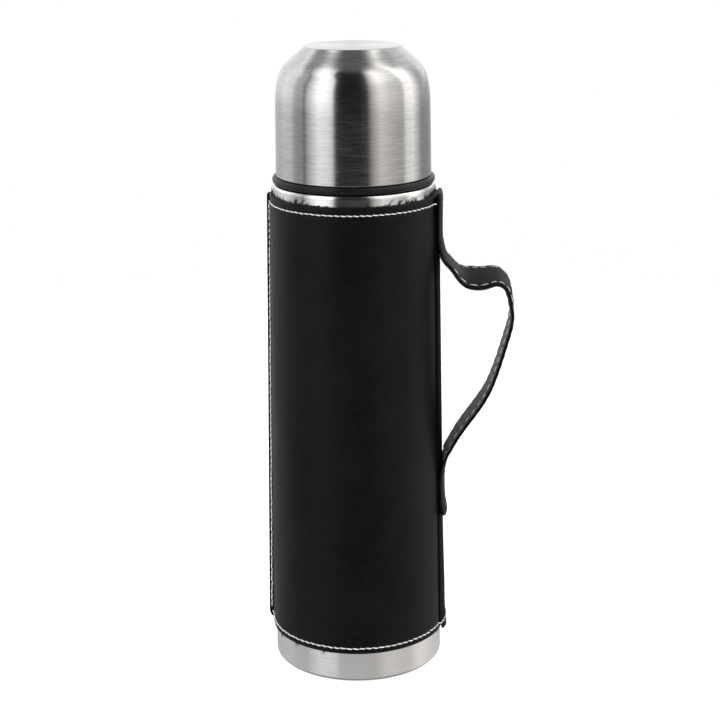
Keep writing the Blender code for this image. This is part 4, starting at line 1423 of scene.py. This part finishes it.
# Brightness round the object, as (degrees from the camera's direction, red, green, blue).
# Degrees above 0 are to the camera's right.
STUDIO_PANELS = (
    (-180, 0.62, 0.62, 0.61),
    (-140, 0.60, 0.60, 0.59),
    (-122, 0.74, 0.74, 0.73),
    (-104, 0.66, 0.66, 0.65),
    (-94, 0.38, 0.38, 0.38),
    (-79, 0.31, 0.31, 0.31),
    (-76.5, 0.06, 0.06, 0.06),
    (-74, 0.34, 0.34, 0.34),
    (-66, 0.62, 0.62, 0.61),
    (-52, 1.12, 1.12, 1.11),
    (-38, 1.02, 1.02, 1.01),
    (-31, 0.80, 0.80, 0.80),
    (-26, 0.05, 0.05, 0.05),
    (-18, 0.012, 0.013, 0.012),
    (10, 0.012, 0.013, 0.012),
    (21, 0.04, 0.04, 0.04),
    (29.5, 0.42, 0.41, 0.40),
    (41, 0.76, 0.73, 0.71),
    (60, 0.58, 0.565, 0.555),
    (78, 0.46, 0.45, 0.44),
    (85, 0.95, 0.93, 0.90),
    (98, 1.06, 1.03, 1.00),
    (110, 0.62, 0.61, 0.60),
    (120, 0.33, 0.33, 0.33),
    (145, 0.33, 0.33, 0.33),
    (180, 0.62, 0.62, 0.61),
)
STUDIO_FLOOR = (
    (-180, 0.47, 0.47, 0.47),
    (-101, 0.52, 0.52, 0.52),
    (-77, 0.56, 0.56, 0.56),
    (-60, 0.62, 0.62, 0.62),
    (-38, 0.61, 0.61, 0.605),
    (-24, 0.69, 0.685, 0.68),
    (8, 0.70, 0.69, 0.675),
    (31, 0.63, 0.61, 0.59),
    (68, 0.64, 0.61, 0.59),
    (90, 0.75, 0.725, 0.70),
    (120, 0.78, 0.76, 0.74),
    (180, 0.47, 0.47, 0.47),
)
STUDIO_CANOPY = (
    (-180, 0.28, 0.28, 0.28),
    (-140, 0.38, 0.38, 0.38),
    (-100, 0.42, 0.42, 0.42),
    (100, 0.66, 0.65, 0.65),
    (140, 0.52, 0.52, 0.52),
    (180, 0.28, 0.28, 0.28),
)
ZENITH = (0.16, 0.16, 0.16, 1.0)
NADIR = (0.24, 0.24, 0.24, 1.0)
BACKLIGHT = (1.08, 1.08, 1.075, 1.0)
CAMERA_PLACE = Vector((0.0, -0.8082, 0.3618))
CAMERA_LENS = 86.3
CAMERA_SHIFT = (0.0136, -0.679)
CAMERA_ROLL = -0.0111
CAMERA_TURN = math.radians(4.0)


def build_world():
    """A studio drawn as a sky: panels round the object, a bright ceiling, and white behind it."""
    world = bpy.data.worlds.new("studio")
    bpy.context.scene.world = world
    world.use_nodes = True
    n = Tree(world.node_tree)
    n.tree.nodes.clear()

    split = n.add("ShaderNodeSeparateXYZ")
    studio = n.add("ShaderNodeVectorRotate", rotation_type="Z_AXIS")
    studio.inputs["Angle"].default_value = -CAMERA_TURN
    n.link(n.add("ShaderNodeTexCoord").outputs["Generated"], studio.inputs["Vector"])
    n.link(studio.outputs["Vector"], split.inputs["Vector"])
    backwards = n.math("MULTIPLY", split.outputs["Y"], -1.0)
    turn = n.math("ARCTAN2", split.outputs["X"], backwards)

    def ring_of_light(panels, squeeze=0.0):
        share = n.math("DIVIDE", turn, math.tau)
        if squeeze:
            share = n.math("MULTIPLY", share, n.math("SUBTRACT", 1.0, squeeze))
        share = n.math("ADD", share, 0.5)
        ramp = n.add("ShaderNodeValToRGB")
        stops = ramp.color_ramp.elements
        for index, (degrees, *colour) in enumerate(panels):
            position = degrees / 360.0 + 0.5
            stop = stops[index] if index < 2 else stops.new(position)
            stop.position = position
            stop.color = (*colour, 1.0)
        n.link(share, ramp.inputs["Fac"])
        return ramp.outputs["Color"]

    def rise(axis, low, high):
        node = n.add("ShaderNodeMapRange", interpolation_type="SMOOTHSTEP")
        node.inputs["From Min"].default_value = low
        node.inputs["From Max"].default_value = high
        n.link(split.outputs[axis], node.inputs["Value"])
        return node.outputs["Result"]

    overhead = n.math("ADD", n.math("MULTIPLY", rise("X", 0.15, -0.15), 0.26), 0.16)
    overhead = n.math("MULTIPLY", rise("Z", 0.50, 0.97), overhead)
    glow = n.add("ShaderNodeVectorMath", operation="SCALE")
    n.link(ring_of_light(STUDIO_PANELS, overhead), glow.inputs["Vector"])
    gain = n.math("ADD", n.math("MULTIPLY", rise("Z", -0.158, -0.03), 0.75), 1.0)
    right = n.math("MULTIPLY", rise("Z", 0.25, 0.62), rise("X", 0.10, 0.40))
    gain = n.math("ADD", gain, n.math("MULTIPLY", right, 0.80))
    n.link(gain, glow.inputs["Scale"])
    sky = n.mix(rise("Z", -0.40, -0.33), ring_of_light(STUDIO_FLOOR), glow.outputs["Vector"])
    canopy = n.math("MULTIPLY", rise("Z", 0.62, 0.78), rise("Y", 0.04, 0.28))
    sky = n.mix(canopy, sky, ring_of_light(STUDIO_CANOPY))
    sky = n.mix(rise("Z", 0.90, 0.985), sky, ZENITH)
    backlight = n.math("MULTIPLY", rise("Y", 0.60, 0.82), rise("Z", -0.02, 0.10))
    backlight = n.math("MULTIPLY", backlight, rise("Z", 0.80, 0.62))
    sky = n.mix(rise("Z", -0.55, -0.75), sky, NADIR)
    sky = n.mix(backlight, sky, BACKLIGHT)
    seen = n.add("ShaderNodeBackground")
    seen.inputs["Color"].default_value = (1.0, 1.0, 1.0, 1.0)
    lit = n.add("ShaderNodeBackground")
    n.link(sky, lit.inputs["Color"])
    choose = n.add("ShaderNodeMixShader")
    n.link(n.add("ShaderNodeLightPath").outputs["Is Camera Ray"], choose.inputs["Fac"])
    n.link(lit.outputs["Background"], choose.inputs[1])
    n.link(seen.outputs["Background"], choose.inputs[2])
    n.link(choose.outputs["Shader"], n.add("ShaderNodeOutputWorld").inputs["Surface"])


def build_floor():
    """A white light table: it glows evenly, so only the contact shadow shows."""
    radius = 0.75
    bm = bmesh.new()
    bmesh.ops.create_circle(bm, cap_ends=True, radius=radius, segments=128)
    mesh = bpy.data.meshes.new("floor")
    bm.to_mesh(mesh)
    bm.free()
    floor = bpy.data.objects.new("floor", mesh)
    bpy.context.scene.collection.objects.link(floor)
    floor.location.z = -0.05 * MM
    floor.visible_glossy = False
    n = Nodes("white_table")
    n.set(
        Base_Color=(0.80, 0.80, 0.80, 1.0),
        Roughness=0.9,
        Specular_IOR_Level=0.0,
        Emission_Color=(1.0, 1.0, 1.0, 1.0),
        Emission_Strength=0.62,
    )
    below = n.add("ShaderNodeMixShader")
    n.link(n.add("ShaderNodeNewGeometry").outputs["Backfacing"], below.inputs["Fac"])
    n.link(n.shader.outputs["BSDF"], below.inputs[1])
    n.link(n.add("ShaderNodeBsdfTransparent").outputs["BSDF"], below.inputs[2])
    n.link(below.outputs["Shader"], n.output.inputs["Surface"])
    mesh.materials.append(n.material)


def build_lamps():
    """Two soft boxes that lift the leather's edges."""
    for name, place, size, power, colour in (
        ("soft_left", (-0.75, -0.35, 0.45), 0.5, 3.0, (1.0, 1.0, 1.0)),
        ("soft_right", (0.75, -0.30, 0.40), 0.5, 2.4, (1.0, 0.97, 0.94)),
    ):
        data = bpy.data.lights.new(name, "AREA")
        data.size = size
        data.energy = power
        data.color = colour
        lamp = bpy.data.objects.new(name, data)
        bpy.context.scene.collection.objects.link(lamp)
        lamp.location = place
        lamp.rotation_euler = (Vector((0.0, 0.0, 0.13)) - Vector(place)).to_track_quat("-Z", "Y").to_euler()
        lamp.visible_glossy = False


def build_camera():
    """A level camera with a shifted lens, as product photographers use, so that verticals stay parallel."""
    data = bpy.data.cameras.new("camera")
    data.lens = CAMERA_LENS
    data.sensor_width = 36.0
    data.clip_start = 0.01
    data.clip_end = 20.0
    camera = bpy.data.objects.new("camera", data)
    bpy.context.scene.collection.objects.link(camera)
    level = Matrix.Rotation(math.radians(90.0), 4, "X")
    roll = Matrix.Rotation(CAMERA_ROLL, 4, "Z")
    turn = Matrix.Rotation(CAMERA_TURN, 4, "Z")
    camera.matrix_world = turn @ Matrix.Translation(CAMERA_PLACE) @ level @ roll
    # The lens is shifted only while the camera stands at its own height, so that other views stay centred.
    for name, amount in (("shift_x", CAMERA_SHIFT[0]), ("shift_y", CAMERA_SHIFT[1])):
        driver = data.driver_add(name).driver
        driver.type = "SCRIPTED"
        height = driver.variables.new()
        height.name = "height"
        height.type = "TRANSFORMS"
        height.targets[0].id = camera
        height.targets[0].transform_type = "LOC_Z"
        height.targets[0].transform_space = "WORLD_SPACE"
        driver.expression = f"{amount} * (abs(height - {CAMERA_PLACE.z}) < 0.0001)"
    bpy.context.scene.camera = camera


build_steel()
build_neck()
build_cup()
build_stopper()
build_panel("leather_front", -1, "sleeve_front_panel")
build_panel("leather_back", 1, "sleeve_back_panel")
build_lining()
build_side_band()
build_sleeve_stitches()
build_strap()
dress_cad_nodes()
build_world()
build_floor()
build_lamps()
build_camera()
bpy.context.scene.view_settings.view_transform = "Standard"
